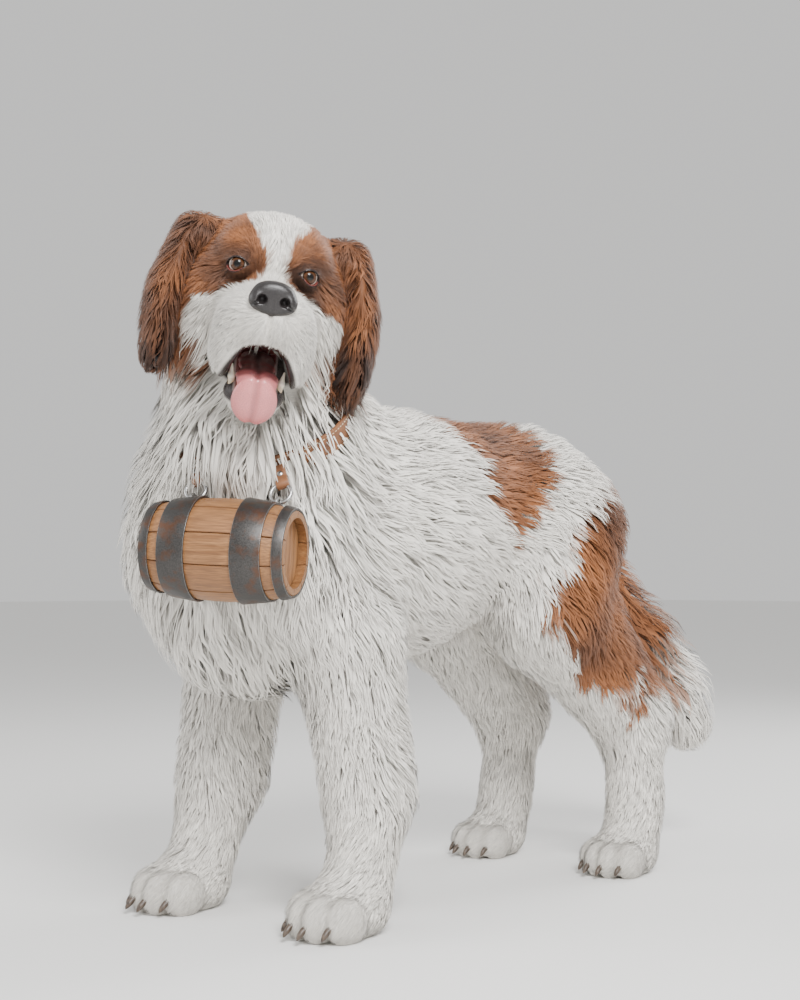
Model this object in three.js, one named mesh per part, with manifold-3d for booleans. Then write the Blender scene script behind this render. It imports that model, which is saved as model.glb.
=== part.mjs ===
// A long-haired Saint Bernard, standing, life size, with a small wooden keg hung from its collar.
// Millimetres, +Z up. The dog faces -Y and its left side is +X. The origin is on the floor, under
// the middle of the model's bounding box. The solids are the outside of the coat, out to its tips.
import * as THREE from "three";
import { mergeVertices } from "three/addons/utils/BufferGeometryUtils.js";
import Module from "manifold-3d";

const wasm = await Module();
wasm.setup();

// Driving dimensions
const WITHERS = 780; // floor to the top of the coat at the withers
const HEAD_TURN = { pitch: 11, roll: 9, yaw: 54 }; // degrees: nose down, left ear low, turned to the left
const JAW_OPEN = 16; // degrees
const HEAD_SCALE = 1.12; // a large male's head, against the landmarks below
const KEG = { length: 196, endRadius: 55, bellyRadius: 68, staves: 10, stave: 9 };
const COLLAR = { radius: 128, width: 36, thick: 5 };
const GAP = 0.8; // clearance between the hard pieces
const PARTING = 3; // clearance between pieces of the body
const ROUGHNESS = 2.3; // how far a cut piece of the body may be simplified
const FINE = 0.12; // and a hard piece
const DRAWN_WITHERS = 780; // the landmarks below are those of a dog of this height
const SCALE = WITHERS / DRAWN_WITHERS;

const at = (x, y, z) => new THREE.Vector3(x, y, z).multiplyScalar(SCALE);
const rad = THREE.MathUtils.degToRad;

// Where the head and the keg sit on the dog
const headFrame = frameAt(at(130, -364, 888), HEAD_TURN).scale(at(HEAD_SCALE, HEAD_SCALE, HEAD_SCALE));
const jawFrame = headFrame.clone().multiply(hinge(at(0, 8, -52), JAW_OPEN));
const kegFrame = frameAt(at(152, -450, 530), { pitch: 0, roll: 3, yaw: 32 });
const collarFrame = frameAt(at(60, -318, 712), { pitch: 36, roll: 0, yaw: 33 });

function frameAt(origin, { pitch, roll, yaw }) {
  const turn = new THREE.Euler(rad(pitch), rad(roll), rad(yaw), "ZXY");
  return new THREE.Matrix4().makeRotationFromEuler(turn).setPosition(origin);
}

function hinge(pivot, degrees) {
  const out = new THREE.Matrix4().makeTranslation(pivot.x, pivot.y, pivot.z);
  const back = new THREE.Matrix4().makeTranslation(-pivot.x, -pivot.y, -pivot.z);
  return out.multiply(new THREE.Matrix4().makeRotationX(rad(degrees))).multiply(back);
}

// Body masses. Each is a limb between two points or an ellipsoid, with the coat that lies over it.
const limb = (a, b, ra, rb, coat, blend = 40) => ({ a, b, ra, rb, coat, blend });
const ball = (c, r, coat, blend = 40, turn = null) => ({ c, r, coat, blend, turn });
const placed = (matrix, masses) => masses.map((m) => ({ ...m, inverse: matrix.clone().invert() }));
const mirrored = (v) => new THREE.Vector3(-v.x, v.y, v.z);

// Distance from a point to one mass, negative inside.
function distance(m, point) {
  const p = m.inverse ? point.clone().applyMatrix4(m.inverse) : point;
  if (m.c) {
    const q = p.clone().sub(m.c);
    if (m.turn) q.applyEuler(m.turn);
    const r = m.r.clone().addScalar(m.coat);
    const near = q.clone().divide(r).length();
    const steep = q.clone().divide(r).divide(r).length();
    return steep < 1e-9 ? -Math.min(r.x, r.y, r.z) : (near * (near - 1)) / steep;
  }
  const along = m.b.clone().sub(m.a);
  const from = p.clone().sub(m.a);
  const t = THREE.MathUtils.clamp(from.dot(along) / along.lengthSq(), 0, 1);
  return from.addScaledVector(along, -t).length() - THREE.MathUtils.lerp(m.ra, m.rb, t) - m.coat;
}

// The masses run into each other smoothly, over each one's own blend width.
function field(masses, point, grow = 0) {
  let found = Infinity;
  for (const m of masses) {
    const d = distance(m, point);
    const overlap = found === Infinity ? 0 : Math.max(m.blend - Math.abs(found - d), 0) / m.blend;
    found = Math.min(found, d) - (overlap * overlap * m.blend) / 4;
  }
  return found - grow;
}

// Where a ray from inside the masses leaves them.
function surfaceAlong(masses, start, direction, grow) {
  const p = start.clone();
  let travelled = 0;
  const reach = 600;
  const finest = 0.5;
  while (travelled < reach) {
    const d = field(masses, p, grow);
    if (d > 0) break;
    const step = Math.max(-d * 0.6, finest);
    travelled += step;
    p.addScaledVector(direction, step);
  }
  for (let step = finest, i = 0; i < 8; i++) {
    step /= 2;
    p.addScaledVector(direction, field(masses, p, grow) > 0 ? -step : step);
  }
  return p;
}

// Draws a capsule along a line inside the masses, then pushes each of its points out to their surface.
function wrapped({ masses, spine, around, along, ends = 5 }, grow = 0) {
  const curve = new THREE.CatmullRomCurve3(spine);
  const length = 2;
  const capsule = new THREE.CapsuleGeometry(1, length, ends, around, along);
  const place = capsule.getAttribute("position");
  const vertex = new THREE.Vector3();
  for (let i = 0; i < place.count; i++) {
    vertex.fromBufferAttribute(place, i);
    const middle = THREE.MathUtils.clamp(vertex.y, -length / 2, length / 2);
    const t = middle / length + 0.5;
    const tangent = curve.getTangent(t);
    const reference = Math.abs(tangent.x) > 0.9 ? new THREE.Vector3(0, 0, 1) : new THREE.Vector3(1, 0, 0);
    const side = reference.addScaledVector(tangent, -reference.dot(tangent)).normalize();
    const third = new THREE.Vector3().crossVectors(side, tangent);
    const direction = side.multiplyScalar(vertex.x);
    direction.addScaledVector(tangent, vertex.y - middle).addScaledVector(third, vertex.z).normalize();
    const end = surfaceAlong(masses, curve.getPoint(t), direction, grow);
    place.setXYZ(i, end.x, end.y, end.z);
  }
  return solidOf(capsule);
}

function solidOf(geometry) {
  const bare = geometry.clone();
  bare.deleteAttribute("normal");
  bare.deleteAttribute("uv");
  const merged = mergeVertices(bare, 1e-3);
  const vertProperties = new Float32Array(merged.getAttribute("position").array);
  return new wasm.Manifold(new wasm.Mesh({ numProp: 3, vertProperties, triVerts: new Uint32Array(merged.index.array) }));
}

function meshOf(solid, name, material) {
  const { numVert, numProp, vertProperties, triVerts } = solid.getMesh();
  const places = new Float32Array(numVert * 3);
  for (let i = 0; i < numVert; i++) places.set(vertProperties.subarray(i * numProp, i * numProp + 3), i * 3);
  const geometry = new THREE.BufferGeometry();
  geometry.setAttribute("position", new THREE.BufferAttribute(places, 3));
  geometry.setIndex(new THREE.BufferAttribute(new Uint32Array(triVerts), 1));
  geometry.computeVertexNormals();
  const mesh = new THREE.Mesh(geometry, material);
  mesh.name = name;
  return mesh;
}

const largest = (solid) => solid.decompose().sort((a, b) => b.volume() - a.volume())[0];
// The largest piece that is left when the others are cut away
const cutFrom = (solid, ...others) => {
  const rest = others.reduce((left, other) => left.subtract(other), solid);
  return largest(rest.simplify(ROUGHNESS));
};
const shaped = (geometry, matrix) => solidOf(geometry.applyMatrix4(matrix));

// Materials
const paint = (color, roughness, metalness = 0) => new THREE.MeshStandardMaterial({ color, roughness, metalness });
const material = {
  white: paint(0xe9e2d6, 0.85),
  red: paint(0x8a4a22, 0.85),
  dark: paint(0x2b1d16, 0.85),
  nose: paint(0x141214, 0.45),
  tongue: paint(0xc8747c, 0.5),
  eye: paint(0x2a160c, 0.1),
  claw: paint(0x3a3029, 0.5),
  leather: paint(0x5a2f18, 0.6),
  iron: paint(0x8f9092, 0.4, 0.9),
  oak: paint(0xa8743f, 0.6),
  hoop: paint(0x6f6a62, 0.45, 0.8),
};

// Trunk: rib cage, forechest, withers, loin, croup, shoulders and haunches
const onBothSides = (make) => [...make(at), ...make((x, y, z) => mirrored(at(x, y, z)))];
const trunk = {
  masses: [
    ball(at(0, -100, 556), at(156, 275, 172), 36),
    ball(at(0, -285, 500), at(124, 112, 130), 56, 60),
    ball(at(0, -288, 610), at(138, 112, 112), 60, 60),
    ball(at(0, -172, 676), at(62, 130, 64), 32, 60),
    limb(at(0, 30, 590), at(0, 262, 602), 132, 128, 32, 60),
    ball(at(0, 290, 596), at(122, 106, 108), 32, 60),
    ...onBothSides((to) => [
      limb(to(68, -185, 680), to(108, -308, 520), 48, 66, 34, 50),
      ball(to(84, 272, 530), at(66, 108, 124), 24, 50),
    ]),
  ],
  spine: [at(0, -275, 560), at(0, -110, 570), at(0, 90, 585), at(0, 300, 590)],
  around: 15,
  along: 7,
  ends: 3,
};

// Neck, with the mane round it
const neck = {
  masses: [
    limb(at(8, -252, 636), at(60, -318, 752), 118, 88, 58),
    limb(at(60, -318, 752), at(96, -338, 850), 86, 66, 50),
    ball(at(70, -350, 664), at(86, 76, 62), 46),
  ],
  spine: [at(10, -256, 640), at(56, -316, 745), at(92, -338, 835)],
  around: 12,
  along: 4,
  ends: 3,
};

// Head, in its own frame, which has the same axes: -Y is towards the nose
const skull = [
  ball(at(0, 14, 26), at(80, 88, 62), 10),
  ball(at(0, 70, 8), at(58, 46, 56), 18, 30),
  ball(at(0, -34, 36), at(56, 50, 42), 5, 24),
  ...[-1, 1].flatMap((s) => [
    ball(at(s * 34, -57, 43), at(30, 26, 24), 4, 16),
    ball(at(s * 60, -22, -12), at(32, 52, 40), 8, 24),
    ball(at(s * 58, 12, -52), at(38, 54, 46), 18, 30),
    ball(at(s * 70, 52, -40), at(44, 44, 66), 36, 30),
  ]),
];
const muzzle = [
  limb(at(0, -70, -14), at(0, -160, -20), 27, 25, 3, 16),
  ball(at(0, -150, -44), at(30, 26, 24), 3, 14),
  ...[-1, 1].flatMap((s) => [
    limb(at(s * 22, -78, -34), at(s * 20, -148, -36), 34, 30, 3, 18),
    ball(at(s * 36, -118, -68), at(23, 46, 42), 4, 16),
  ]),
];
const head = {
  masses: placed(headFrame, [...skull, ...muzzle]),
  spine: [at(0, 60, -6), at(0, 0, -6), at(0, -70, -24), at(0, -135, -34)].map((p) => p.applyMatrix4(headFrame)),
  around: 15,
  along: 6,
  ends: 3,
};
const mouth = {
  masses: placed(headFrame, [
    limb(at(0, -50, -86), at(0, -150, -90), 30, 28, 0, 10),
    limb(at(0, -60, -112), at(0, -170, -126), 41, 40, 0, 20),
  ]),
  spine: [at(0, -55, -96), at(0, -150, -108)].map((p) => p.applyMatrix4(headFrame)),
  around: 8,
  along: 1,
  ends: 2,
};
const jaw = {
  masses: placed(jawFrame, [
    limb(at(0, 10, -92), at(0, -118, -90), 32, 25, 4, 20),
    ball(at(0, -120, -88), at(35, 31, 20), 3, 14),
    ball(at(0, -6, -104), at(48, 60, 34), 16, 30),
  ]),
  spine: [at(0, 10, -98), at(0, -60, -94), at(0, -124, -90)].map((p) => p.applyMatrix4(jawFrame)),
  around: 12,
  along: 3,
  ends: 3,
};
const nose = {
  masses: placed(headFrame, [
    ball(at(0, -178, -12), at(26, 15, 18), 0, 10),
    ball(at(0, -176, -2), at(21, 16, 11), 0, 10),
  ]),
  spine: [at(0, -176, -16), at(0, -176, -4)].map((p) => p.applyMatrix4(headFrame)),
  around: 12,
  along: 2,
  ends: 3,
};
const tongue = {
  masses: placed(jawFrame, [
    ball(at(0, -84, -64), at(22, 48, 8), 0, 10),
    ball(at(0, -136, -64), at(25, 22, 8), 0, 14),
    ball(at(0, -158, -84), at(27, 8, 28), 0, 14),
  ]),
  spine: [at(0, -66, -63), at(0, -128, -62), at(0, -154, -74), at(0, -159, -92)].map((p) => p.applyMatrix4(jawFrame)),
  around: 8,
  along: 4,
  ends: 2,
};

// Teeth that the open mouth shows: the lower canines, joined to the jaw
const canine = (s, grow = 0) => {
  const cone = new THREE.CylinderGeometry(1.2 + grow, 5 + grow, 26 + 2 * grow, 6);
  cone.rotateX(Math.PI / 2 + rad(6)).translate(s * 30, -122, -64);
  return shaped(cone, jawFrame);
};

const EYE_RADIUS = 12.5;
const EYE_ROOM = 3.2; // clearance round an eye
const eyePlace = (s) => at(s * 41, -77, 22).applyMatrix4(headFrame);
const eyeBall = (s) => {
  const { x, y, z } = eyePlace(s);
  return solidOf(new THREE.SphereGeometry(EYE_RADIUS, 10, 7).translate(x, y, z));
};
// The space round an eye, open to the front between the lids
const eyeSocket = (s) => {
  const { x, y, z } = eyePlace(s);
  const round = new THREE.SphereGeometry(EYE_RADIUS + EYE_ROOM, 10, 6).translate(x, y, z);
  const opening = new THREE.CylinderGeometry(EYE_RADIUS + 4, EYE_RADIUS + 2, 36, 10);
  opening.rotateX(Math.PI / 2).translate(s * 42, -96, 22);
  return solidOf(round).add(shaped(opening, headFrame));
};

// A drop ear: a flap that stands off at its root, folds over and hangs against the cheek
const ear = (s) => ({
  masses: placed(headFrame, [
    ball(at(s * 84, 14, 50), at(28, 36, 24), 10, 20, new THREE.Euler(0, s * rad(30), 0)),
    ball(at(s * 113, 4, 6), at(14, 48, 52), 15, 24, new THREE.Euler(0, s * rad(10), 0)),
    ball(at(s * 121, -6, -60), at(12, 42, 52), 18, 24),
  ]),
  spine: [at(s * 86, 12, 48), at(s * 110, 2, 4), at(s * 118, -8, -66)].map((p) => p.applyMatrix4(headFrame)),
  around: 10,
  along: 4,
  ends: 2,
});

// Legs: s is 1 on the left and -1 on the right
// and back is how far the leg stands behind its fellow.
const foreLeg = (s, back) => ({
  masses: [
    limb(at(s * 112, -312, 505), at(s * 124, -212, 412), 60, 56, 30),
    limb(at(s * 124, -218, 412), at(s * 138, -240 + back, 190), 58, 42, 24),
    limb(at(s * 122, -186, 400), at(s * 136, -202 + back, 180), 26, 18, 36),
    limb(at(s * 138, -236 + back, 200), at(s * 145, -248 + back, 96), 40, 36, 15),
  ],
  spine: [
    at(s * 118, -258, 455),
    at(s * 127, -216 + back / 3, 360),
    at(s * 135, -230 + back, 240),
    at(s * 142, -244 + back, 110),
  ],
  around: 9,
  along: 6,
  ends: 2,
});
const hindLeg = (s, back) => ({
  masses: [
    limb(at(s * 92, 288, 570), at(s * 118, 226, 440), 96, 74, 30),
    limb(at(s * 118, 238, 430), at(s * 128, 414 + back, 250), 66, 46, 24),
    limb(at(s * 112, 345, 420), at(s * 124, 440 + back, 270), 42, 22, 34),
    limb(at(s * 128, 425 + back, 246), at(s * 136, 414 + back, 92), 42, 36, 14),
  ],
  spine: [
    at(s * 104, 270, 500),
    at(s * 116, 296, 400),
    at(s * 126, 408 + back, 265),
    at(s * 134, 420 + back, 110),
  ],
  around: 10,
  along: 6,
  ends: 2,
});

// Paws: a pad with four arched toes. The foot's middle is on the floor under the leg.
const TOES = [
  { x: -38, y: -36 },
  { x: -13, y: -54 },
  { x: 13, y: -54 },
  { x: 38, y: -36 },
];
const paw = (x, y, size) => ({
  masses: [
    ball(at(x, y - 2, 34 * size), at(50, 56, 40).multiplyScalar(size), 7, 20),
    limb(at(x, y + 18, 66 * size), at(x, y + 34, 128 * size), 34 * size, 34 * size, 12, 24),
    ...TOES.map((toe) => ball(at(x + toe.x * size, y + toe.y * size, 25 * size), at(17, 30, 29).multiplyScalar(size), 5, 12)),
  ],
  spine: [at(x, y + 28, 96 * size), at(x, y, 52 * size), at(x, y - 38 * size, 34 * size)],
  around: 12,
  along: 3,
  ends: 3,
});
const PAWS = [
  { name: "fore_left", side: 1, x: 150, y: -282, back: 52, size: 1.1, leg: foreLeg },
  { name: "fore_right", side: -1, x: -148, y: -282, back: 0, size: 1.1, leg: foreLeg },
  { name: "hind_left", side: 1, x: 138, y: 386, back: 24, size: 1, leg: hindLeg },
  { name: "hind_right", side: -1, x: -138, y: 386, back: 0, size: 1, leg: hindLeg },
];

// A claw is a short tapered horn that curves down from its toe
const claw = (x, y, size, toe) => {
  const horn = new THREE.CylinderGeometry(1.8, 5.5 * size, 28 * size, 6);
  horn.rotateX(Math.PI / 2 + rad(26));
  horn.translate(x + toe.x * size, y + (toe.y - 36) * size, 17 * size);
  return solidOf(horn);
};

// The tail hangs behind the hocks and flares into a brush
const tail = {
  masses: [
    limb(at(0, 385, 635), at(4, 436, 560), 40, 38, 22),
    limb(at(4, 436, 560), at(18, 496, 465), 36, 30, 36),
    limb(at(18, 496, 465), at(38, 574, 375), 28, 22, 56),
    limb(at(38, 574, 375), at(56, 644, 292), 20, 14, 70),
    limb(at(56, 644, 292), at(62, 688, 225), 12, 6, 50),
  ],
  spine: [at(0, 392, 625), at(4, 436, 560), at(18, 496, 465), at(38, 574, 375), at(59, 662, 266)],
  around: 12,
  along: 7,
  ends: 3,
};
const TAIL_PARTING = at(26, 530, 430); // between the root and the brush

// Collar: a leather band in a parting of the mane
const ring = (inner, outer, half, outerHalf = half) => [
  new THREE.Vector2(inner, -half),
  new THREE.Vector2(outer, -outerHalf),
  new THREE.Vector2(outer, outerHalf),
  new THREE.Vector2(inner, half),
  new THREE.Vector2(inner, -half),
];
const COLLAR_SIDES = 20;
const aroundNeck = new THREE.Matrix4().makeRotationX(Math.PI / 2);
const collarPlace = collarFrame.clone().multiply(aroundNeck);
const collarBand = () => {
  const profile = ring(COLLAR.radius, COLLAR.radius + COLLAR.thick, COLLAR.width / 2);
  return shaped(new THREE.LatheGeometry(profile, COLLAR_SIDES), collarPlace);
};
// The mane parts over the collar at the sides. In front and behind, the ruff falls over it.
const collarSlot = () => {
  const room = COLLAR.radius + COLLAR.thick + PARTING;
  const slot = ring(COLLAR.radius - PARTING, room, COLLAR.width / 2 + PARTING);
  return shaped(new THREE.LatheGeometry(slot, COLLAR_SIDES), collarPlace);
};
const parting = () => {
  const half = COLLAR.width / 2 + PARTING;
  const open = ring(COLLAR.radius - PARTING, COLLAR.radius + 75, half, half + 10);
  const front = new THREE.BoxGeometry(110, 240, 160).translate(0, -150, 0);
  const back = new THREE.BoxGeometry(500, 300, 160).translate(0, 170, 0);
  const sides = shaped(new THREE.LatheGeometry(open, COLLAR_SIDES), collarPlace);
  return sides.subtract(shaped(front, collarFrame)).subtract(shaped(back, collarFrame));
};

// Keg: staves round two heads, with four hoops. Its axis lies along X in its own frame.
const kegAxis = new THREE.Matrix4().makeRotationZ(-Math.PI / 2);
const kegPlace = kegFrame.clone().multiply(kegAxis);
const kegRadius = (along) => {
  const share = (2 * along) / KEG.length;
  return KEG.bellyRadius - (KEG.bellyRadius - KEG.endRadius) * share * share;
};
const ROUND = 20; // sides of the keg
const kegShell = (inset, depth, from, to, steps) => {
  const outside = [];
  const inside = [];
  for (let i = 0; i <= steps; i++) {
    const along = from + ((to - from) * i) / steps;
    outside.push(new THREE.Vector2(kegRadius(along) - inset, along));
    inside.unshift(new THREE.Vector2(kegRadius(along) - inset - depth, along));
  }
  return [...outside, ...inside, outside[0]];
};
// The room that the coat leaves for the keg
const kegSpace = () => {
  const half = KEG.length / 2 + 6;
  const room = new THREE.CylinderGeometry(KEG.bellyRadius + 8, KEG.bellyRadius + 8, 2 * half, 14);
  return shaped(room, kegPlace);
};
function kegStave(i) {
  const shell = shaped(new THREE.LatheGeometry(kegShell(0, KEG.stave, -KEG.length / 2, KEG.length / 2, 3), ROUND), kegPlace);
  const half = Math.PI / KEG.staves - 0.006;
  const middle = (2 * Math.PI * i) / KEG.staves;
  const reach = KEG.bellyRadius * 1.4;
  const start = 8; // clear of the axis, so that neighbours never meet there
  const corner = (r, angle) => [r * Math.cos(middle + angle), r * Math.sin(middle + angle)];
  const sector = new THREE.Shape();
  sector.moveTo(...corner(start, -half));
  sector.lineTo(...corner(reach, -half));
  sector.lineTo(...corner(reach, half));
  sector.lineTo(...corner(start, half));
  const wedge = new THREE.ExtrudeGeometry(sector, { depth: KEG.length + 4, bevelEnabled: false });
  wedge.translate(0, 0, -KEG.length / 2 - 2).rotateX(Math.PI / 2);
  return shell.intersect(shaped(wedge, kegPlace)).simplify(FINE);
}
const HOOPS = [
  { name: "keg_hoop_left_end", from: 84, to: 97.5 },
  { name: "keg_hoop_left", from: 31, to: 70 },
  { name: "keg_hoop_right", from: -70, to: -31 },
  { name: "keg_hoop_right_end", from: -97.5, to: -84 },
];
const kegHoop = ({ from, to }) => {
  const profile = kegShell(-3 - GAP, 3, from, to, 1);
  return shaped(new THREE.LatheGeometry(profile, ROUND), kegPlace);
};
const kegHead = (s) => {
  const inner = kegRadius(KEG.length / 2 - 12) - KEG.stave - 2.5;
  const disc = new THREE.CylinderGeometry(inner, inner, 8, ROUND);
  disc.translate(0, s * (KEG.length / 2 - 16), 0);
  return shaped(disc, kegPlace);
};

// The keg hangs by a staple on each inner hoop, a ring through the staple and a leather tab
const HANGER_ALONG = 60;
const HANGER_LEAN = 26; // degrees towards the chest, round the keg's axis
const STAPLE = { width: 22, rise: 11, wire: 2.4 };
const WIRE_SIDES = 6;
const RING = { radius: 14, wire: 2.8 };
const TAB = { width: 17, thick: 5, eye: 7, stand: 4 };
const hangerFrame = kegFrame.clone().multiply(new THREE.Matrix4().makeRotationX(-rad(HANGER_LEAN)));
const hoopTop = kegRadius(HANGER_ALONG) + 3 + GAP;
const staplePeak = hoopTop + GAP + STAPLE.rise;
const ringCentre = staplePeak - STAPLE.wire - RING.wire - 0.6 + RING.radius;
function rod(curve, wire, steps) {
  const section = new THREE.Shape();
  for (let i = 0; i < WIRE_SIDES; i++) {
    const turn = (2 * Math.PI * i) / WIRE_SIDES;
    const corner = [wire * Math.cos(turn), wire * Math.sin(turn)];
    if (i) section.lineTo(...corner);
    else section.moveTo(...corner);
  }
  return new THREE.ExtrudeGeometry(section, { steps, extrudePath: curve, bevelEnabled: false });
}
function kegStaple(s) {
  const half = STAPLE.width / 2;
  const foot = hoopTop + GAP;
  const arch = new THREE.CatmullRomCurve3([
    new THREE.Vector3(s * HANGER_ALONG, -half, foot - 1),
    new THREE.Vector3(s * HANGER_ALONG, -half * 0.9, foot + STAPLE.rise * 0.6),
    new THREE.Vector3(s * HANGER_ALONG, 0, staplePeak),
    new THREE.Vector3(s * HANGER_ALONG, half * 0.9, foot + STAPLE.rise * 0.6),
    new THREE.Vector3(s * HANGER_ALONG, half, foot - 1),
  ]);
  return shaped(rod(arch, STAPLE.wire, 6), hangerFrame).subtract(kegBarrel()).simplify(FINE);
}
// The keg's outside with its hoops on
const kegBarrel = () => shaped(new THREE.LatheGeometry([
  new THREE.Vector2(0, -HANGER_ALONG - 10),
  new THREE.Vector2(kegRadius(HANGER_ALONG + 10) + 3 + 2 * GAP, -HANGER_ALONG - 10),
  new THREE.Vector2(kegRadius(HANGER_ALONG - 10) + 3 + 2 * GAP, -HANGER_ALONG + 10),
  new THREE.Vector2(kegRadius(HANGER_ALONG - 10) + 3 + 2 * GAP, HANGER_ALONG - 10),
  new THREE.Vector2(kegRadius(HANGER_ALONG + 10) + 3 + 2 * GAP, HANGER_ALONG + 10),
  new THREE.Vector2(0, HANGER_ALONG + 10),
], ROUND), kegPlace);
const hangerRing = (s, grow = 0) => {
  const loop = new THREE.TorusGeometry(RING.radius, RING.wire + grow, WIRE_SIDES, 12);
  loop.rotateX(Math.PI / 2).translate(s * HANGER_ALONG, 0, ringCentre);
  return shaped(loop, hangerFrame);
};
const tabFrame = (s) => {
  const outside = COLLAR.radius + COLLAR.thick + TAB.stand + TAB.thick / 2;
  const across = s * HANGER_ALONG;
  const top = new THREE.Vector3(across, -Math.sqrt(outside * outside - across * across), 6);
  top.applyMatrix4(collarFrame);
  const bottom = new THREE.Vector3(across, 0, ringCentre + RING.radius).applyMatrix4(hangerFrame);
  const up = top.sub(bottom);
  const length = up.length();
  up.normalize();
  const side = new THREE.Vector3().setFromMatrixColumn(hangerFrame, 0);
  side.addScaledVector(up, -side.dot(up)).normalize();
  return { length, matrix: new THREE.Matrix4().makeBasis(side, up.clone().cross(side), up).setPosition(bottom) };
};
// A strap from the front of the collar down to the ring, with its end turned round the ring
function hangerTab(s) {
  const { length, matrix } = tabFrame(s);
  const strap = new THREE.BoxGeometry(TAB.width, TAB.thick, length).translate(0, 0, length / 2);
  const eye = new THREE.CylinderGeometry(TAB.eye, TAB.eye, TAB.width, 10).rotateZ(Math.PI / 2);
  return shaped(strap, matrix).add(shaped(eye, matrix)).subtract(hangerRing(s, 0.6)).simplify(FINE);
}
// The room that the coat leaves for a tab, its ring and its staple
function hangerRoom(s) {
  const { length, matrix } = tabFrame(s);
  const ringRoom = 2 * (RING.radius + RING.wire) + 4;
  const strap = new THREE.BoxGeometry(TAB.width + 6, TAB.thick + 14, length + 4).translate(0, 0, length / 2);
  const loop = new THREE.BoxGeometry(ringRoom, STAPLE.width + 8, ringRoom + STAPLE.rise + 10);
  loop.translate(s * HANGER_ALONG, 0, ringCentre - 4);
  return shaped(strap, matrix).add(shaped(loop, hangerFrame));
}

// Assembly: each solid is cut by the neighbours that it meets, grown by the gap
const part = new THREE.Group();
const add = (name, solid, finish) => part.add(meshOf(solid, name, finish));

const floorLevel = (solid) => solid.trimByPlane([0, 0, 1], 0);
const trunkSpace = wrapped(trunk, PARTING);
const neckSpace = wrapped(neck, PARTING);
const noseSpace = wrapped(nose, PARTING);
const jawSpace = wrapped(jaw, PARTING);
const headWhole = wrapped(head, PARTING);

const worn = [kegSpace(), collarSlot(), hangerRoom(1), hangerRoom(-1)];
add("trunk", cutFrom(wrapped(trunk), ...worn), material.white);
const above = [headWhole, jawSpace, wrapped(tongue, PARTING)];
add("neck", cutFrom(wrapped(neck), trunkSpace, ...above, ...worn, parting()), material.white);
const eyeSpaces = [eyeSocket(1), eyeSocket(-1)];
const mouthSpace = wrapped(mouth);
const teethSpaces = [canine(1, 2), canine(-1, 2)];
const carved = [mouthSpace, jawSpace, noseSpace, trunkSpace, collarSlot(), ...eyeSpaces, ...teethSpaces];
add("head", cutFrom(wrapped(head), ...carved), material.red);
const lowerJaw = cutFrom(wrapped(jaw), trunkSpace).add(canine(1)).add(canine(-1));
add("lower_jaw", lowerJaw, material.white);
add("nose", wrapped(nose), material.nose);
add("tongue", cutFrom(wrapped(tongue), jawSpace, headWhole), material.tongue);
for (const [side, s] of [["left", 1], ["right", -1]]) {
  add(`eye_${side}`, eyeBall(s), material.eye);
  add(`ear_${side}`, cutFrom(wrapped(ear(s)), headWhole, neckSpace, jawSpace), material.dark);
}

for (const { name, side, x, y, back, size, leg } of PAWS) {
  const foot = paw(x, y + back, size);
  const footSpace = floorLevel(wrapped(foot, PARTING));
  add(`leg_${name}`, cutFrom(wrapped(leg(side, back)), trunkSpace, footSpace), material.white);
  add(`paw_${name}`, floorLevel(wrapped(foot)), material.white);
  TOES.forEach((toe, i) => {
    add(`claw_${name}_${i + 1}`, largest(claw(x, y + back, size, toe).subtract(footSpace).simplify(FINE)), material.claw);
  });
}

const tailFrom = TAIL_PARTING.clone().sub(at(4, 436, 560)).normalize();
const tailCut = TAIL_PARTING.dot(tailFrom);
const wholeTail = cutFrom(wrapped(tail), trunkSpace);
add("tail_brush", wholeTail.trimByPlane(tailFrom.toArray(), tailCut + GAP), material.white);
add("tail_root", wholeTail.trimByPlane(tailFrom.clone().negate().toArray(), -tailCut), material.red);

add("collar", collarBand(), material.leather);
for (let i = 0; i < KEG.staves; i++) add(`keg_stave_${i + 1}`, kegStave(i), material.oak);
for (const hoop of HOOPS) add(hoop.name, kegHoop(hoop), material.hoop);
for (const [side, s] of [["left", 1], ["right", -1]]) {
  add(`keg_head_${side}`, kegHead(s), material.oak);
  add(`keg_staple_${side}`, kegStaple(s), material.iron);
  add(`hanger_ring_${side}`, hangerRing(s), material.iron);
  add(`hanger_tab_${side}`, hangerTab(s), material.leather);
}

// The origin goes to the floor, under the middle of the model
const box = new THREE.Box3().setFromObject(part, true);
const middle = box.getCenter(new THREE.Vector3());
part.children.forEach((mesh) => mesh.geometry.translate(-middle.x, -middle.y, 0));

export default part;
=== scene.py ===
import math

import bpy
import numpy as np
from mathutils import Matrix, Vector, kdtree


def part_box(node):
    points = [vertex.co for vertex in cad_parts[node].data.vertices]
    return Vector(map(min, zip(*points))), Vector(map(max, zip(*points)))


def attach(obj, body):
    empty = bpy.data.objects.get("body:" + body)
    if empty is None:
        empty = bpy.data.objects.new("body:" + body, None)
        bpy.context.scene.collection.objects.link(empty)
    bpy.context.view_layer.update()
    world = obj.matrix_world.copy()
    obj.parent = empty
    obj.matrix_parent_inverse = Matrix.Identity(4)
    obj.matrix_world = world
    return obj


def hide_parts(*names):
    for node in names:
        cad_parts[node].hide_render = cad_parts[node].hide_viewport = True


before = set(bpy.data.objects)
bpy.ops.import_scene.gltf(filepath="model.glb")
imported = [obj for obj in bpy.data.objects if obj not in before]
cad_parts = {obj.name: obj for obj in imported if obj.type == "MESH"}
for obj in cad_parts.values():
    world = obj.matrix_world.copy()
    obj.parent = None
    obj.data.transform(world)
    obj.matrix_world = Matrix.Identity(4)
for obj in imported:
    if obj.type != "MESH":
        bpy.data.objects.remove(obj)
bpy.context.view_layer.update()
MM = 0.001

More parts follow.
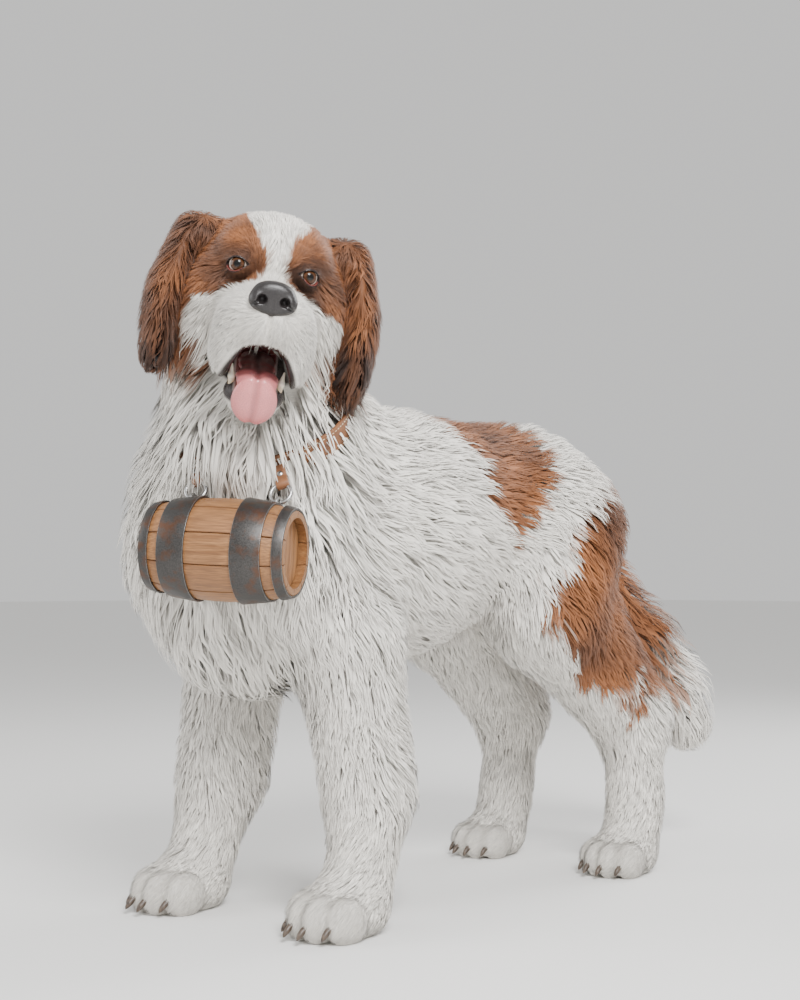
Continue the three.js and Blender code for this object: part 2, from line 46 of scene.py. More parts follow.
# Where the head, the jaw, the keg and the collar sit, as in the solids
HEAD_SCALE = 1.12
JAW_OPEN = 16
JAW_HINGE = (0, 8, -52)
EYE_RADIUS = 12.5
EYE = (41, -77, 22)


def turned(origin, pitch=0, roll=0, yaw=0, scale=1):
    """A frame at a place, turned by degrees."""
    turn = Matrix.Rotation(math.radians(yaw), 4, "Z")
    turn = turn @ Matrix.Rotation(math.radians(pitch), 4, "X")
    turn = turn @ Matrix.Rotation(math.radians(roll), 4, "Y")
    return np.array(Matrix.Translation(origin) @ turn @ Matrix.Scale(scale, 4))


def hinged(pivot, degrees):
    """A turn about a hinge that runs from side to side."""
    out = Matrix.Translation(pivot)
    turn = Matrix.Rotation(math.radians(degrees), 4, "X")
    return np.array(out @ turn @ out.inverted())


HEAD = turned((130, -364, 888), pitch=11, roll=9, yaw=54, scale=HEAD_SCALE)
JAW = HEAD @ hinged(JAW_HINGE, JAW_OPEN)
KEG = turned((152, -450, 530), roll=3, yaw=32)
COLLAR = turned((60, -318, 712), pitch=36, yaw=33)


def to_world(matrix, points):
    return np.asarray(points, float) @ matrix[:3, :3].T + matrix[:3, 3]


def to_local(matrix, points):
    inverse = np.linalg.inv(matrix)
    return points @ inverse[:3, :3].T + inverse[:3, 3]


def home():
    """How far the solids were moved to stand over the origin, from where the left eye now is."""
    low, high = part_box("eye_left")
    middle = np.array((low + high) / 2) / MM
    return middle - to_world(HEAD, [EYE])[0]


HOME = home()


# Body masses: limbs between two points and ellipsoids, with the coat that lies over each
def limb(a, b, ra, rb, coat, blend=40):
    return dict(a=np.array(a, float), b=np.array(b, float), ra=ra, rb=rb, coat=coat, blend=blend)


def ball(c, r, coat, blend=40, turn=0):
    return dict(c=np.array(c, float), r=np.array(r, float), coat=coat, blend=blend, turn=turn)


def length(v):
    return np.sqrt(np.einsum("ij,ij->i", v, v))


def unit(v):
    return v / np.maximum(length(v), 1e-9)[:, None]


def unit_of(v):
    """A single direction, of length 1."""
    return np.asarray(v, float) / np.linalg.norm(v)


def all_round(count):
    """Even angles over a full turn."""
    return np.arange(count) / count * 2 * math.pi


def distance(mass, p, share):
    """From points to one mass, negative inside. share is 0 on the skin and 1 at the coat's tips."""
    if "c" in mass:
        q = p - mass["c"]
        if mass["turn"]:
            c, s = math.cos(math.radians(mass["turn"])), math.sin(math.radians(mass["turn"]))
            q = np.stack([q[:, 0] * c + q[:, 2] * s, q[:, 1], q[:, 2] * c - q[:, 0] * s], 1)
        r = mass["r"] + share * mass["coat"]
        near = length(q / r)
        steep = length(q / (r * r))
        return near * (near - 1) / np.maximum(steep, 1e-9)
    along = mass["b"] - mass["a"]
    offset = p - mass["a"]
    t = np.clip(offset @ along / (along @ along), 0, 1)
    radius = mass["ra"] + (mass["rb"] - mass["ra"]) * t + share * mass["coat"]
    return length(offset - t[:, None] * along) - radius


def smooth_min(a, b, blend):
    """The nearer of two distances, rounded where they are alike."""
    overlap = np.maximum(blend - np.abs(a - b), 0) / blend
    return np.minimum(a, b) - overlap * overlap * blend / 4


def smooth_max(a, b, blend):
    return -smooth_min(-a, -b, blend)


def joined(masses, p, share):
    """The distance to masses that run into each other."""
    found = distance(masses[0], p, share)
    for mass in masses[1:]:
        found = smooth_min(found, distance(mass, p, share), mass["blend"])
    return found


SIDES = (1, -1)
SIDE_NAMES = ((1, "left"), (-1, "right"))
TRUNK = [
    ball((0, -100, 556), (156, 275, 172), 36),
    ball((0, -285, 500), (124, 112, 130), 56, 60),
    ball((0, -288, 610), (138, 112, 112), 60, 60),
    ball((0, -172, 676), (62, 130, 64), 32, 60),
    limb((0, 30, 590), (0, 262, 602), 132, 128, 32, 60),
    ball((0, 290, 596), (122, 106, 108), 32, 60),
]
for s in SIDES:
    TRUNK.append(limb((s * 68, -185, 680), (s * 108, -308, 520), 48, 66, 34, 50))
    TRUNK.append(ball((s * 84, 272, 530), (66, 108, 124), 24, 50))
NECK = [
    limb((8, -252, 636), (60, -318, 752), 118, 88, 58),
    limb((60, -318, 752), (96, -338, 850), 86, 66, 50),
    ball((70, -350, 664), (86, 76, 62), 46),
]
SKULL = [
    ball((0, 14, 26), (80, 88, 62), 10),
    ball((0, 70, 8), (58, 46, 56), 18, 30),
    ball((0, -34, 36), (56, 50, 42), 5, 24),
]
for s in SIDES:
    SKULL.append(ball((s * 34, -57, 43), (30, 26, 24), 4, 16))
    SKULL.append(ball((s * 60, -22, -12), (32, 52, 40), 8, 24))
    SKULL.append(ball((s * 58, 12, -52), (38, 54, 46), 18, 30))
    SKULL.append(ball((s * 70, 52, -40), (44, 44, 66), 36, 30))
MUZZLE = [
    limb((0, -70, -14), (0, -160, -20), 27, 25, 3, 16),
    ball((0, -150, -44), (30, 26, 24), 3, 14),
]
for s in SIDES:
    MUZZLE.append(limb((s * 22, -78, -34), (s * 20, -148, -36), 34, 30, 3, 18))
    MUZZLE.append(ball((s * 36, -118, -68), (23, 46, 42), 4, 16))
MOUTH = [
    limb((0, -50, -86), (0, -150, -90), 30, 28, 0, 10),
    limb((0, -60, -112), (0, -170, -126), 41, 40, 0, 20),
]
LOWER_JAW = [
    limb((0, 10, -92), (0, -118, -90), 32, 25, 4, 20),
    ball((0, -120, -88), (35, 31, 20), 3, 14),
    ball((0, -6, -104), (48, 60, 34), 16, 30),
]
NOSE = [
    ball((0, -178, -12), (26, 15, 18), 0, 10),
    ball((0, -176, -2), (21, 16, 11), 0, 10),
]
TONGUE = [
    ball((0, -84, -64), (22, 48, 8), 0, 10),
    ball((0, -136, -64), (25, 22, 8), 0, 14),
    ball((0, -158, -84), (27, 8, 28), 0, 14),
]
TAIL = [
    limb((0, 385, 635), (4, 436, 560), 40, 38, 22),
    limb((4, 436, 560), (18, 496, 465), 36, 30, 36),
    limb((18, 496, 465), (38, 574, 375), 28, 22, 56),
    limb((38, 574, 375), (56, 644, 292), 20, 14, 70),
    limb((56, 644, 292), (62, 688, 225), 12, 6, 50),
]
TOES = [(-38, -36), (-13, -54), (13, -54), (38, -36)]


def ear(s):
    return [
        ball((s * 84, 14, 50), (28, 36, 24), 10, 20, s * 30),
        ball((s * 113, 4, 6), (14, 48, 52), 15, 24, s * 10),
        ball((s * 121, -6, -60), (12, 42, 52), 18, 24),
    ]


def fore_leg(s, back):
    return [
        limb((s * 112, -312, 505), (s * 124, -212, 412), 60, 56, 30),
        limb((s * 124, -218, 412), (s * 138, -240 + back, 190), 58, 42, 24),
        limb((s * 122, -186, 400), (s * 136, -202 + back, 180), 26, 18, 36),
        limb((s * 138, -236 + back, 200), (s * 145, -248 + back, 96), 40, 36, 15),
    ]


def hind_leg(s, back):
    return [
        limb((s * 92, 288, 570), (s * 118, 226, 440), 96, 74, 30),
        limb((s * 118, 238, 430), (s * 128, 414 + back, 250), 66, 46, 24),
        limb((s * 112, 345, 420), (s * 124, 440 + back, 270), 42, 22, 34),
        limb((s * 128, 425 + back, 246), (s * 136, 414 + back, 92), 42, 36, 14),
    ]


def paw(x, y, size):
    masses = [
        ball((x, y - 2, 34 * size), np.array((50, 56, 40)) * size, 7, 20),
        limb((x, y + 18, 66 * size), (x, y + 34, 128 * size), 34 * size, 34 * size, 12, 24),
    ]
    for tx, ty in TOES:
        toe = (x + tx * size, y + ty * size, 25 * size)
        masses.append(ball(toe, np.array((17, 30, 29)) * size, 5, 9))
    return masses


PAWS = [
    dict(name="fore_left", side=1, x=150, y=-282, back=52, size=1.1, leg=fore_leg),
    dict(name="fore_right", side=-1, x=-148, y=-282, back=0, size=1.1, leg=fore_leg),
    dict(name="hind_left", side=1, x=138, y=386, back=24, size=1.0, leg=hind_leg),
    dict(name="hind_right", side=-1, x=-138, y=386, back=0, size=1.0, leg=hind_leg),
]


# The face: what the skin adds to the head's masses, in the head's own frame
def eye_axes(s):
    """The way an eye looks, towards its outer corner, and up."""
    out = unit_of((s * 0.40, -0.90, 0.06))
    aside = unit_of(np.cross(out, (0, 0, 1)) * -s)
    up = np.cross(aside, out) * s
    return out, aside, up * np.sign(up[2])


LID = dict(half=13.6, top=7.3, bottom=8.4, tilt=-0.10, thick=2.8)


def lid_opening(p, s):
    """Distance to the opening between the lids, and the distance to the eye's centre."""
    q = p - np.array((s * EYE[0], EYE[1], EYE[2]))
    out, aside, up = eye_axes(s)
    across = q @ aside
    rise = q @ up - across * LID["tilt"]
    arch = 1 - (across / LID["half"]) ** 2
    top = LID["top"] * arch
    bottom = -LID["bottom"] * (1 - ((across - 1) / LID["half"]) ** 2)
    opening = np.maximum(rise - top, bottom - rise)
    return np.maximum(opening, 1 - q @ out), length(q)


def around_eyes(d, p):
    """Lids round each eye, with the opening between them and room for the eyeball."""
    radius = EYE_RADIUS / HEAD_SCALE
    for s in SIDES:
        opening, away = lid_opening(p, s)
        d = smooth_min(d, away - radius - LID["thick"], 7)
        d = smooth_max(d, -opening, 1.6)
        d = np.maximum(d, radius + 0.3 - away)
    return d


def brow_folds(p):
    """Shallow folds over the eyes and a furrow up the middle of the forehead."""
    x, y, z = p.T
    furrow = 3.5 * np.exp(-((x / 7) ** 2)) * np.exp(-(((z - 62) / 34) ** 2)) * (y < 0)
    mask = np.exp(-(((np.abs(x) - 34) / 22) ** 2)) * np.exp(-(((z - 58) / 18) ** 2)) * (y < -20)
    folds = 0.9 * np.sin(z * 0.55 + np.abs(x) * 0.16) * mask
    return furrow + folds


PHILTRUM = limb((0, -184, -28), (0, -172, -72), 1.6, 2.6, 0)
NOSE_SEAT = 1.5


def face(d, p):
    """The head's skin with its folds, lids, the groove under the nose and the seat behind it."""
    d = d + brow_folds(p)
    d = smooth_max(d, -distance(PHILTRUM, p, 0), 4)
    d = smooth_max(d, -joined(NOSE, p, 0) - NOSE_SEAT, 2)
    d = around_eyes(d, p)
    return d


MOUTH_FLOOR = ball((0, -84, -62), (25, 54, 13), 0)


def lower_lip(d, p):
    """The jaw's upper side is hollow, with a lip round it."""
    return smooth_max(d, -distance(MOUTH_FLOOR, p, 0), 5)


# Parts of the body, each in its own frame, with the width over which it runs into the rest
PART_ROOM = 90
FAR = 80


def part(name, masses, blend, matrix=None):
    """A part's masses, with the box that holds them, its coat and some room."""
    corners = []
    for m in masses:
        ends = [(m["c"], m["r"])] if "c" in m else [(m["a"], m["ra"]), (m["b"], m["rb"])]
        for middle, radius in ends:
            corners += [middle - radius, middle + radius]
    corners = np.array(corners)
    reach = max(m["coat"] for m in masses) + PART_ROOM
    scale = 1 if matrix is None else HEAD_SCALE
    return dict(name=name, masses=masses, blend=blend, matrix=matrix, scale=scale,
                low=corners.min(0) - reach, high=corners.max(0) + reach)


PARTS = [part("trunk", TRUNK, 40), part("neck", NECK, 40), part("tail", TAIL, 30)]
for foot in PAWS:
    PARTS.append(part("leg_" + foot["name"], foot["leg"](foot["side"], foot["back"]), 40))
    PARTS.append(part("paw_" + foot["name"], paw(foot["x"], foot["y"] + foot["back"], foot["size"]), 24))
PARTS.append(part("head", SKULL + MUZZLE, 36, HEAD))
PARTS.append(part("jaw", LOWER_JAW, 12, JAW))
for s, side in SIDE_NAMES:
    PARTS.append(part("ear_" + side, ear(s), 8, HEAD))
NAMES = [item["name"] for item in PARTS]


def part_distance(item, p, share):
    """From points to one part, in millimetres. Far points get a rough distance."""
    q = p if item["matrix"] is None else to_local(item["matrix"], p)
    gap = np.maximum(np.maximum(item["low"] - q, q - item["high"]), 0)
    far = length(gap) + FAR
    near = far <= FAR
    if near.any():
        q = q[near]
        d = joined(item["masses"], q, share)
        if item["name"] == "head":
            d = smooth_max(d, -joined(MOUTH, q, 0), 5)
            if share < 0.5:
                d = face(d, q)
        if item["name"] == "jaw" and share < 0.5:
            d = lower_lip(d, q)
        far[near] = d * item["scale"]
    return far


def field(p, share=0):
    """Distance from points to the skin, or to the coat's tips."""
    found = None
    for item in PARTS:
        d = part_distance(item, p, share)
        found = d if found is None else smooth_min(found, d, item["blend"])
    return found


def slope_of(measure, p, step=0.6):
    """A distance and its gradient at points."""
    here = measure(p)
    gradient = np.empty_like(p)
    for axis in range(3):
        ahead = p.copy()
        ahead[:, axis] += step
        gradient[:, axis] = (measure(ahead) - here) / step
    return here, gradient


# Surface nets: the surface where a field crosses zero on a grid of points
MOST_AT_ONCE = 200000
CORNERS = [(i, j, k) for i in (0, 1) for j in (0, 1) for k in (0, 1)]
EDGES = [(a, b) for a in CORNERS for b in CORNERS if a < b and sum(np.abs(np.subtract(a, b))) == 1]


def sampled(axes, measure, coarse=5):
    """The field on a grid, found exactly only near the surface."""
    spacing = max(np.diff(a).max() for a in axes)
    rough_axes = [a[::coarse] for a in axes]
    rough = np.stack(np.meshgrid(*rough_axes, indexing="ij"), -1)
    shape = rough.shape[:3]
    values = measure(rough.reshape(-1, 3)).reshape(shape)
    reach = spacing * coarse * 1.8
    index = np.stack(np.meshgrid(*[np.minimum((np.arange(len(a)) + coarse // 2) // coarse, n - 1)
                                   for a, n in zip(axes, shape)], indexing="ij"), -1)
    d = values[index[..., 0], index[..., 1], index[..., 2]].astype(np.float32)
    close = np.argwhere(np.abs(d) < reach)
    places = np.stack([axes[i][close[:, i]] for i in range(3)], 1)
    chunks = np.array_split(places, max(1, len(places) // MOST_AT_ONCE))
    d[tuple(close.T)] = np.concatenate([measure(chunk) for chunk in chunks])
    return d


def net(axes, d):
    """One point in each cell that the surface crosses, and a quad across each grid edge it cuts."""
    inside = d < 0
    shape = np.array(d.shape) - 1
    count = np.zeros(shape, np.int8)
    for c in CORNERS:
        count += inside[c[0]:c[0] + shape[0], c[1]:c[1] + shape[1], c[2]:c[2] + shape[2]]
    cells = np.argwhere((count > 0) & (count < 8))
    number = np.full(shape, -1, np.int64)
    number[tuple(cells.T)] = np.arange(len(cells))
    total = np.zeros((len(cells), 3))
    hits = np.zeros(len(cells))
    for a, b in EDGES:
        ia, ib = cells + a, cells + b
        da, db = d[tuple(ia.T)], d[tuple(ib.T)]
        cross = (da < 0) != (db < 0)
        t = np.where(cross, da / np.where(cross, da - db, 1), 0)[:, None]
        pa = np.stack([axes[i][ia[:, i]] for i in range(3)], 1)
        pb = np.stack([axes[i][ib[:, i]] for i in range(3)], 1)
        total += np.where(cross[:, None], pa + (pb - pa) * t, 0)
        hits += cross
    quads = []
    for axis in range(3):
        u, v = (axis + 1) % 3, (axis + 2) % 3
        first = [slice(1, -1)] * 3
        second = list(first)
        first[axis], second[axis] = slice(0, -1), slice(1, None)
        a, b = inside[tuple(first)], inside[tuple(second)]
        base = np.array([0 if i == axis else 1 for i in range(3)])
        nodes = np.argwhere(a != b)
        out = a[tuple(nodes.T)]
        nodes = nodes + base
        step_u, step_v = np.eye(3, dtype=int)[u], np.eye(3, dtype=int)[v]
        around = [nodes, nodes - step_u, nodes - step_u - step_v, nodes - step_v]
        quad = np.stack([number[tuple(n.T)] for n in around], 1)
        quads.append(np.where(out[:, None], quad, quad[:, ::-1]))
    return total / hits[:, None], np.concatenate(quads)


def pulled_on(points, measure, times=2):
    """Moves points onto the surface."""
    for _ in range(times):
        d, gradient = slope_of(measure, points)
        steep = np.maximum(np.einsum("ij,ij->i", gradient, gradient), 0.2)
        points = points - gradient * np.clip(d / steep, -3, 3)[:, None]
    return points


def spaced(*stretches):
    """Grid places from (start, end, spacing) stretches that follow on each other."""
    places = [np.array([stretches[0][0]], float)]
    for start, end, spacing in stretches:
        steps = max(1, round((end - start) / spacing))
        places.append(np.linspace(start, end, steps + 1)[1:])
    return np.concatenate(places)


def object_of(name, points, faces, smooth=True):
    """A mesh object from points in millimetres of the dog's own axes."""
    mesh = bpy.data.meshes.new(name)
    places = ((np.asarray(points) + HOME) * MM).astype(np.float32)
    faces = np.asarray(faces, np.int32)
    mesh.vertices.add(len(places))
    mesh.vertices.foreach_set("co", places.ravel())
    mesh.loops.add(faces.size)
    mesh.loops.foreach_set("vertex_index", faces.ravel())
    mesh.polygons.add(len(faces))
    mesh.polygons.foreach_set("loop_start", np.arange(0, faces.size, faces.shape[1], dtype=np.int32))
    mesh.update(calc_edges=True)
    if smooth:
        mesh.polygons.foreach_set("use_smooth", np.ones(len(faces), bool))
    item = bpy.data.objects.new(name, mesh)
    bpy.context.scene.collection.objects.link(item)
    return item


# The head's skin is found on a finer grid that turns with the head. It ends inside the mane.
HEAD_ROOM = (np.array((-150, -205, -175)), np.array((150, 104, 112)))


def in_head_room(p, margin=0):
    q = to_local(HEAD, p)
    return np.all((q > HEAD_ROOM[0] + margin) & (q < HEAD_ROOM[1] - margin), 1)


def head_skin():
    axes = [
        spaced((-150, -62, 2.6), (-62, -20, 1.5), (-20, 20, 2.0), (20, 62, 1.5), (62, 150, 2.6)),
        spaced((-205, -102, 1.9), (-102, -60, 1.4), (-60, -30, 2.2), (-30, 104, 3.2)),
        spaced((-175, -120, 2.6), (-120, -50, 1.9), (-50, 4, 2.0), (4, 40, 1.4), (40, 112, 2.4)),
    ]
    d = sampled(axes, lambda q: field(to_world(HEAD, q)))
    points, quads = net(axes, d)
    return pulled_on(to_world(HEAD, points), field), quads


def body_skin():
    axes = [
        spaced((-262, 262, 5.2)),
        spaced((-440, -200, 5.0), (-200, 330, 6.0), (330, 460, 5.0), (460, 720, 6.0)),
        spaced((-8, 110, 4.2), (110, 960, 5.6)),
    ]
    d = sampled(axes, field, 4)
    points, quads = net(axes, d)
    points = pulled_on(points, field)
    keep = ~in_head_room(points, 6)
    return points, quads[keep[quads].any(1)]


def compact(points, faces):
    """Without the points that no face uses."""
    used = np.unique(faces)
    number = np.zeros(len(points), int)
    number[used] = np.arange(len(used))
    return points[used], number[faces]


def skin_mesh():
    """The head's and the body's skin, which overlap inside the mane, no lower than the floor."""
    head_points, head_quads = head_skin()
    body_points, body_quads = compact(*body_skin())
    points = np.concatenate([head_points, body_points])
    quads = np.concatenate([head_quads, body_quads + len(head_points)])
    points[:, 2] = np.maximum(points[:, 2], 0.0)
    return points, quads


POINTS, QUADS = skin_mesh()
skin = object_of("skin", POINTS, QUADS)
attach(skin, "root")
FLESH = ["trunk", "neck", "head", "lower_jaw", "ear_left", "ear_right", "tail_root", "tail_brush"]
FLESH += ["leg_" + foot["name"] for foot in PAWS] + ["paw_" + foot["name"] for foot in PAWS]
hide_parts(*FLESH)


# Markings: how red a place is, from 0 on white fur to 1, and how dark the red is
def ripple(p, size, seed):
    """A smooth wandering value between about -1 and 1, the same each run."""
    chance = np.random.default_rng(seed)
    total = np.zeros(len(p))
    for octave in (1.0, 0.5, 0.27):
        for _ in range(4):
            way = unit_of(chance.normal(size=3))
            total += octave * np.sin(p @ way * (6.28 / (size * octave)) + chance.uniform(0, 6.28))
    return total / 3.6


def rise(value, start, end):
    """A smooth step from 0 at the start to 1 at the end."""
    t = np.clip((value - start) / (end - start), 0, 1)
    return t * t * (3 - 2 * t)


def head_markings(q):
    """White up the middle of the face and on the muzzle, red at the sides and dark round the eyes."""
    x, y, z = np.abs(q[:, 0]), q[:, 1], q[:, 2]
    edge = ripple(q, 42, 3) * 5 + ripple(q, 12, 4) * 2
    blaze = 12 + 22 * rise(z, 34, 82) * (1 - rise(y, 30, 100)) + edge * 0.8
    side = y + 60 + 37 * rise(z, -22, 0) - 0.3 * np.maximum(5 - z, 0) + edge
    red = rise(x, blaze - 3, blaze + 3) * rise(side, -3, 4)
    red = red * rise(z + edge * 2, -96, -70)
    away = np.sqrt(((x - 46) / 1.25) ** 2 + ((y + 72) / 1.4) ** 2 + (z - 20) ** 2) + edge
    mask = 1 - rise(away, 16, 40)
    cheek = (1 - rise(side, 0, 22)) * (1 - rise(z, -10, 10))
    return red, np.clip(0.22 + 0.62 * mask + 0.4 * cheek + 0.2 * ripple(q, 60, 5), 0, 1)


def body_markings(p):
    """Red over the back and over the rump and the outside of the thighs."""
    x, y, z = p.T
    edge = ripple(p, 110, 11) * 20 + ripple(p, 36, 12) * 7
    half = 88 * rise(z, 540, 676) + 26 * rise(z, 670, 730)
    centre = 112 - 12 * rise(z, 670, 730) - 32 * (1 - rise(z, 560, 690))
    saddle = half - np.abs(y - centre) + edge * 0.8
    drop = z - 470
    front = 176 + np.where(drop > 0, 88 * (drop / 160) ** 2, 150 * (drop / 150) ** 2)
    thigh = y - front + edge
    outside = rise(np.abs(x), 84, 116) + rise(z, 440, 500)
    rump = rise(thigh, -8, 8) * np.clip(outside, 0, 1) * rise(z + edge * 1.6, 318, 344)
    red = np.maximum(rise(saddle, -7, 7) * rise(z, 545, 560), rump)
    return red, np.clip(0.30 + 0.45 * ripple(p, 150, 13), 0, 1)


def markings(p, weights):
    """Redness and darkness at points, from each part's own markings."""
    red, dark = body_markings(p)
    q = to_local(HEAD, p)
    head_red, head_dark = head_markings(q)
    ears = weights[:, NAMES.index("ear_left")] + weights[:, NAMES.index("ear_right")]
    ears = rise(ears, 0.25, 0.5)
    on_head = rise(weights[:, NAMES.index("head")], 0.2, 0.5) * (1 - ears)
    tail = rise(weights[:, NAMES.index("tail")], 0.3, 0.7)
    tail_red = 1 - rise(p[:, 1] + 14 * ripple(p, 60, 14), 540, 580)
    red = red * (1 - tail) + tail_red * tail
    body = (1 - on_head) * (1 - ears)
    total = red * body + head_red * on_head + ears
    flap = 0.62 + 0.3 * ripple(q, 50, 15) + 0.25 * (1 - rise(q[:, 2], -90, -20))
    darkness = dark * body + head_dark * on_head + flap * ears
    return np.clip(total, 0, 1), np.clip(darkness, 0, 1)


WHITE = np.array((0.86, 0.82, 0.75))
RED = np.array((0.36, 0.13, 0.045))
DARK = np.array((0.055, 0.024, 0.014))


def coat_colour(red, dark):
    """White fur, or red that goes to dark brown."""
    tone = RED + (DARK - RED) * dark[:, None]
    return WHITE + (tone - WHITE) * red[:, None]


SPOT_TOP = 30
SPOT_ROWS = 6
SPOT_DROP = 9
SPOT_STEP = 13
SPOT_SIZE = (1.1, 2.3)
SPOT_SHADE = 0.8


def whisker_spots(q):
    """Small dark dots in staggered rows round the sides of the muzzle, from 0 to 1."""
    aside = np.abs(q[:, 0])
    round_muzzle = aside + q[:, 1]
    row = -(q[:, 2] + SPOT_TOP) / SPOT_DROP
    line = np.round(row)
    column = round_muzzle / SPOT_STEP + line % 2 / 2
    away = np.hypot((row - line) * SPOT_DROP, (column - np.round(column)) * SPOT_STEP)
    muzzle = (round_muzzle > -142) & (round_muzzle < -66) & (aside > 24)
    return (1 - rise(away, *SPOT_SIZE)) * muzzle * (line >= 0) * (line < SPOT_ROWS)


def coat_at(p, weights):
    """The coat's colour at points."""
    colour = coat_colour(*markings(p, weights))
    return colour * (1 - SPOT_SHADE * whisker_spots(to_local(HEAD, p)))[:, None]


def part_weights(p):
    """How much each part holds at points near the skin."""
    away = np.stack([part_distance(item, p, 0) for item in PARTS], 1)
    nearness = np.exp(-(away - away.min(1)[:, None]) / 14)
    return nearness / nearness.sum(1)[:, None]


# Which way the hair lies on each part
def head_flow(q):
    """In the head's frame: back from the nose, up over the forehead and down over the cheeks."""
    x, y, z = q.T
    flow = np.zeros_like(q)
    flow[:, 0] = 0.25 * np.sign(x) * rise(np.abs(x), 5, 40)
    flow[:, 1] = 1.0
    flow[:, 2] = -0.75 * rise(np.abs(x), 24, 60) * (1 - rise(z, 0, 60)) - 0.4 * rise(-z, 30, 80)
    flow[:, 2] += 0.5 * (1 - rise(np.abs(x), 10, 40)) * rise(z, 0, 30) * rise(-y, 20, 70)
    return flow


def body_flow(name, p):
    """Back along the trunk, down the chest and legs and out over the toes."""
    x, y, z = p.T
    flow = np.zeros_like(p)
    flow[:, 2] = -1
    if name == "trunk":
        chest = rise(-y, 200, 300)
        flow[:, 1] = 1.1 * (1 - chest) + 0.1
        flow[:, 2] = -0.45 - 0.9 * chest - 0.35 * rise(-z, -560, -440)
    elif name == "neck":
        flow[:, 1] = 0.35 * rise(y, -330, -250)
    elif name == "tail":
        flow[:, 0] = 0.12
        flow[:, 1] = 0.55
    elif name.startswith("leg_fore"):
        flow[:, 1] = 0.12 + 0.5 * rise(y, -215, -180)
    elif name.startswith("leg_hind"):
        flow[:, 1] = 0.42 * rise(z, 180, 330) + 0.3 * rise(y, 400, 460)
    elif name.startswith("paw"):
        flow[:, 1] = -0.9
        flow[:, 2] = -0.55
    return flow


def lie(p, weights):
    """The way the coat lies at points, in the dog's axes."""
    q = to_local(HEAD, p)
    turn = HEAD[:3, :3] / HEAD_SCALE
    total = np.zeros_like(p)
    for i, name in enumerate(NAMES):
        if name == "head":
            flow = head_flow(q) @ turn.T
        elif name == "jaw":
            flow = np.tile(turn @ np.array((0, 0.8, -0.7)), (len(p), 1))
        elif name.startswith("ear"):
            flow = np.tile(turn @ np.array((0, 0.1, -1)), (len(p), 1))
        else:
            flow = body_flow(name, p)
        total += unit(flow) * weights[:, i:i + 1]
    for axis in range(3):
        total[:, axis] += 0.2 * ripple(p, 170, 20 + axis)
    return total


def mouth_parts(p):
    """How far places are lip, and how far they are the lining of the open mouth."""
    q, j = to_local(HEAD, p), to_local(JAW, p)
    outside = joined(SKULL + MUZZLE, q, 0)
    cut = joined(MOUTH, q, 0)
    of_jaw = joined(LOWER_JAW, j, 0) < smooth_max(outside, -cut, 5)
    of_head = 1 - rise(outside, 2, 6)
    upper_lip = (1 - rise(cut, 5, 9)) * rise(outside, -14, -8) * of_head
    upper_lining = (1 - rise(cut, 4, 8)) * (1 - rise(outside, -14, -8))
    ahead = np.maximum(1 - rise(j[:, 1], -50, -30), 1 - rise(cut, 2, 8))
    lower_lip_share = rise(j[:, 2], -99, -92) * ahead
    lower_lining = rise(j[:, 2], -84, -78) * (1 - rise(np.abs(j[:, 0]), 22, 27)) * (j[:, 1] > -144)
    lips = np.where(of_jaw, lower_lip_share * (1 - lower_lining), upper_lip)
    return lips, np.where(of_jaw, lower_lining, upper_lining)


def mouth_share(p):
    """Where the mouth and the groove under the nose leave the skin bare."""
    lips, lining = mouth_parts(p)
    q = to_local(HEAD, p)
    outside = joined(SKULL + MUZZLE, q, 0)
    of_head = (outside < 3) & (outside < joined(LOWER_JAW, to_local(JAW, p), 0))
    edge = (1 - rise(joined(MOUTH, q, 0), 9, 12)) * of_head
    groove = distance(PHILTRUM, q, 0) < 1.5
    return np.maximum(np.maximum(lips, lining), np.maximum(edge, groove))


# Tufts: thin tapered solids of three sides, whose roots are in the skin
LONGEST = 4  # rings of the longest tufts
RING_DEPTHS = (7, 20, 46)  # depths of coat past which a tuft has one more ring
BELOW_SKIN = -0.04  # of the coat's depth
IN_A_LOCK = 11
LENGTH_BASE = 4.5
LENGTH_PER_DEPTH = 1.6
UNDER = dict(title="under", layers=1.6, fuller=1.0, width=2.0, broad=0.075,
             low=0.48, high=0.80, wander=0.5, clump=0.2)
OUTER = dict(title="outer", layers=2.35, fuller=0.8, width=0.62, broad=0.0215,
             low=0.58, high=0.99, wander=0.7, clump=0.45)
RIDGE = 0.22
BODY_SHADE = (0.55, 0.86)  # how far the shading of short and of long tufts follows the body under them
PATCH = 0.003
STRAND_SPREAD = 40  # how far apart tufts lie on the map that streaks them
CLEAR_OF_FLOOR = 1.5
STRAY = 2.5  # how far past the coat a tip may stand
MOST_TRIANGLES = 190000


def quad_areas(points, quads):
    a, b, c, d = (points[quads[:, i]] for i in range(4))
    return length(np.cross(c - a, d - b) / 2)


def scattered(points, quads, style, chance):
    """Roots spread over the skin so that their tufts cover it, with their depth of coat."""
    middle = points[quads].mean(1)
    depth = np.clip(-field(middle, 1), 1, 90)
    reach = LENGTH_BASE + LENGTH_PER_DEPTH * depth
    width = style["width"] + style["broad"] * reach
    wanted = quad_areas(points, quads) * coverage(middle, depth, style) / (reach * width)
    times = np.floor(wanted + chance.random(len(wanted))).astype(int)
    pick = np.repeat(np.arange(len(quads)), times)
    u, v = chance.random((2, len(pick), 1))
    corners = points[quads[pick]]
    low = corners[:, 0] * (1 - u) + corners[:, 1] * u
    high = corners[:, 3] * (1 - u) + corners[:, 2] * u
    return low * (1 - v) + high * v, depth[pick]


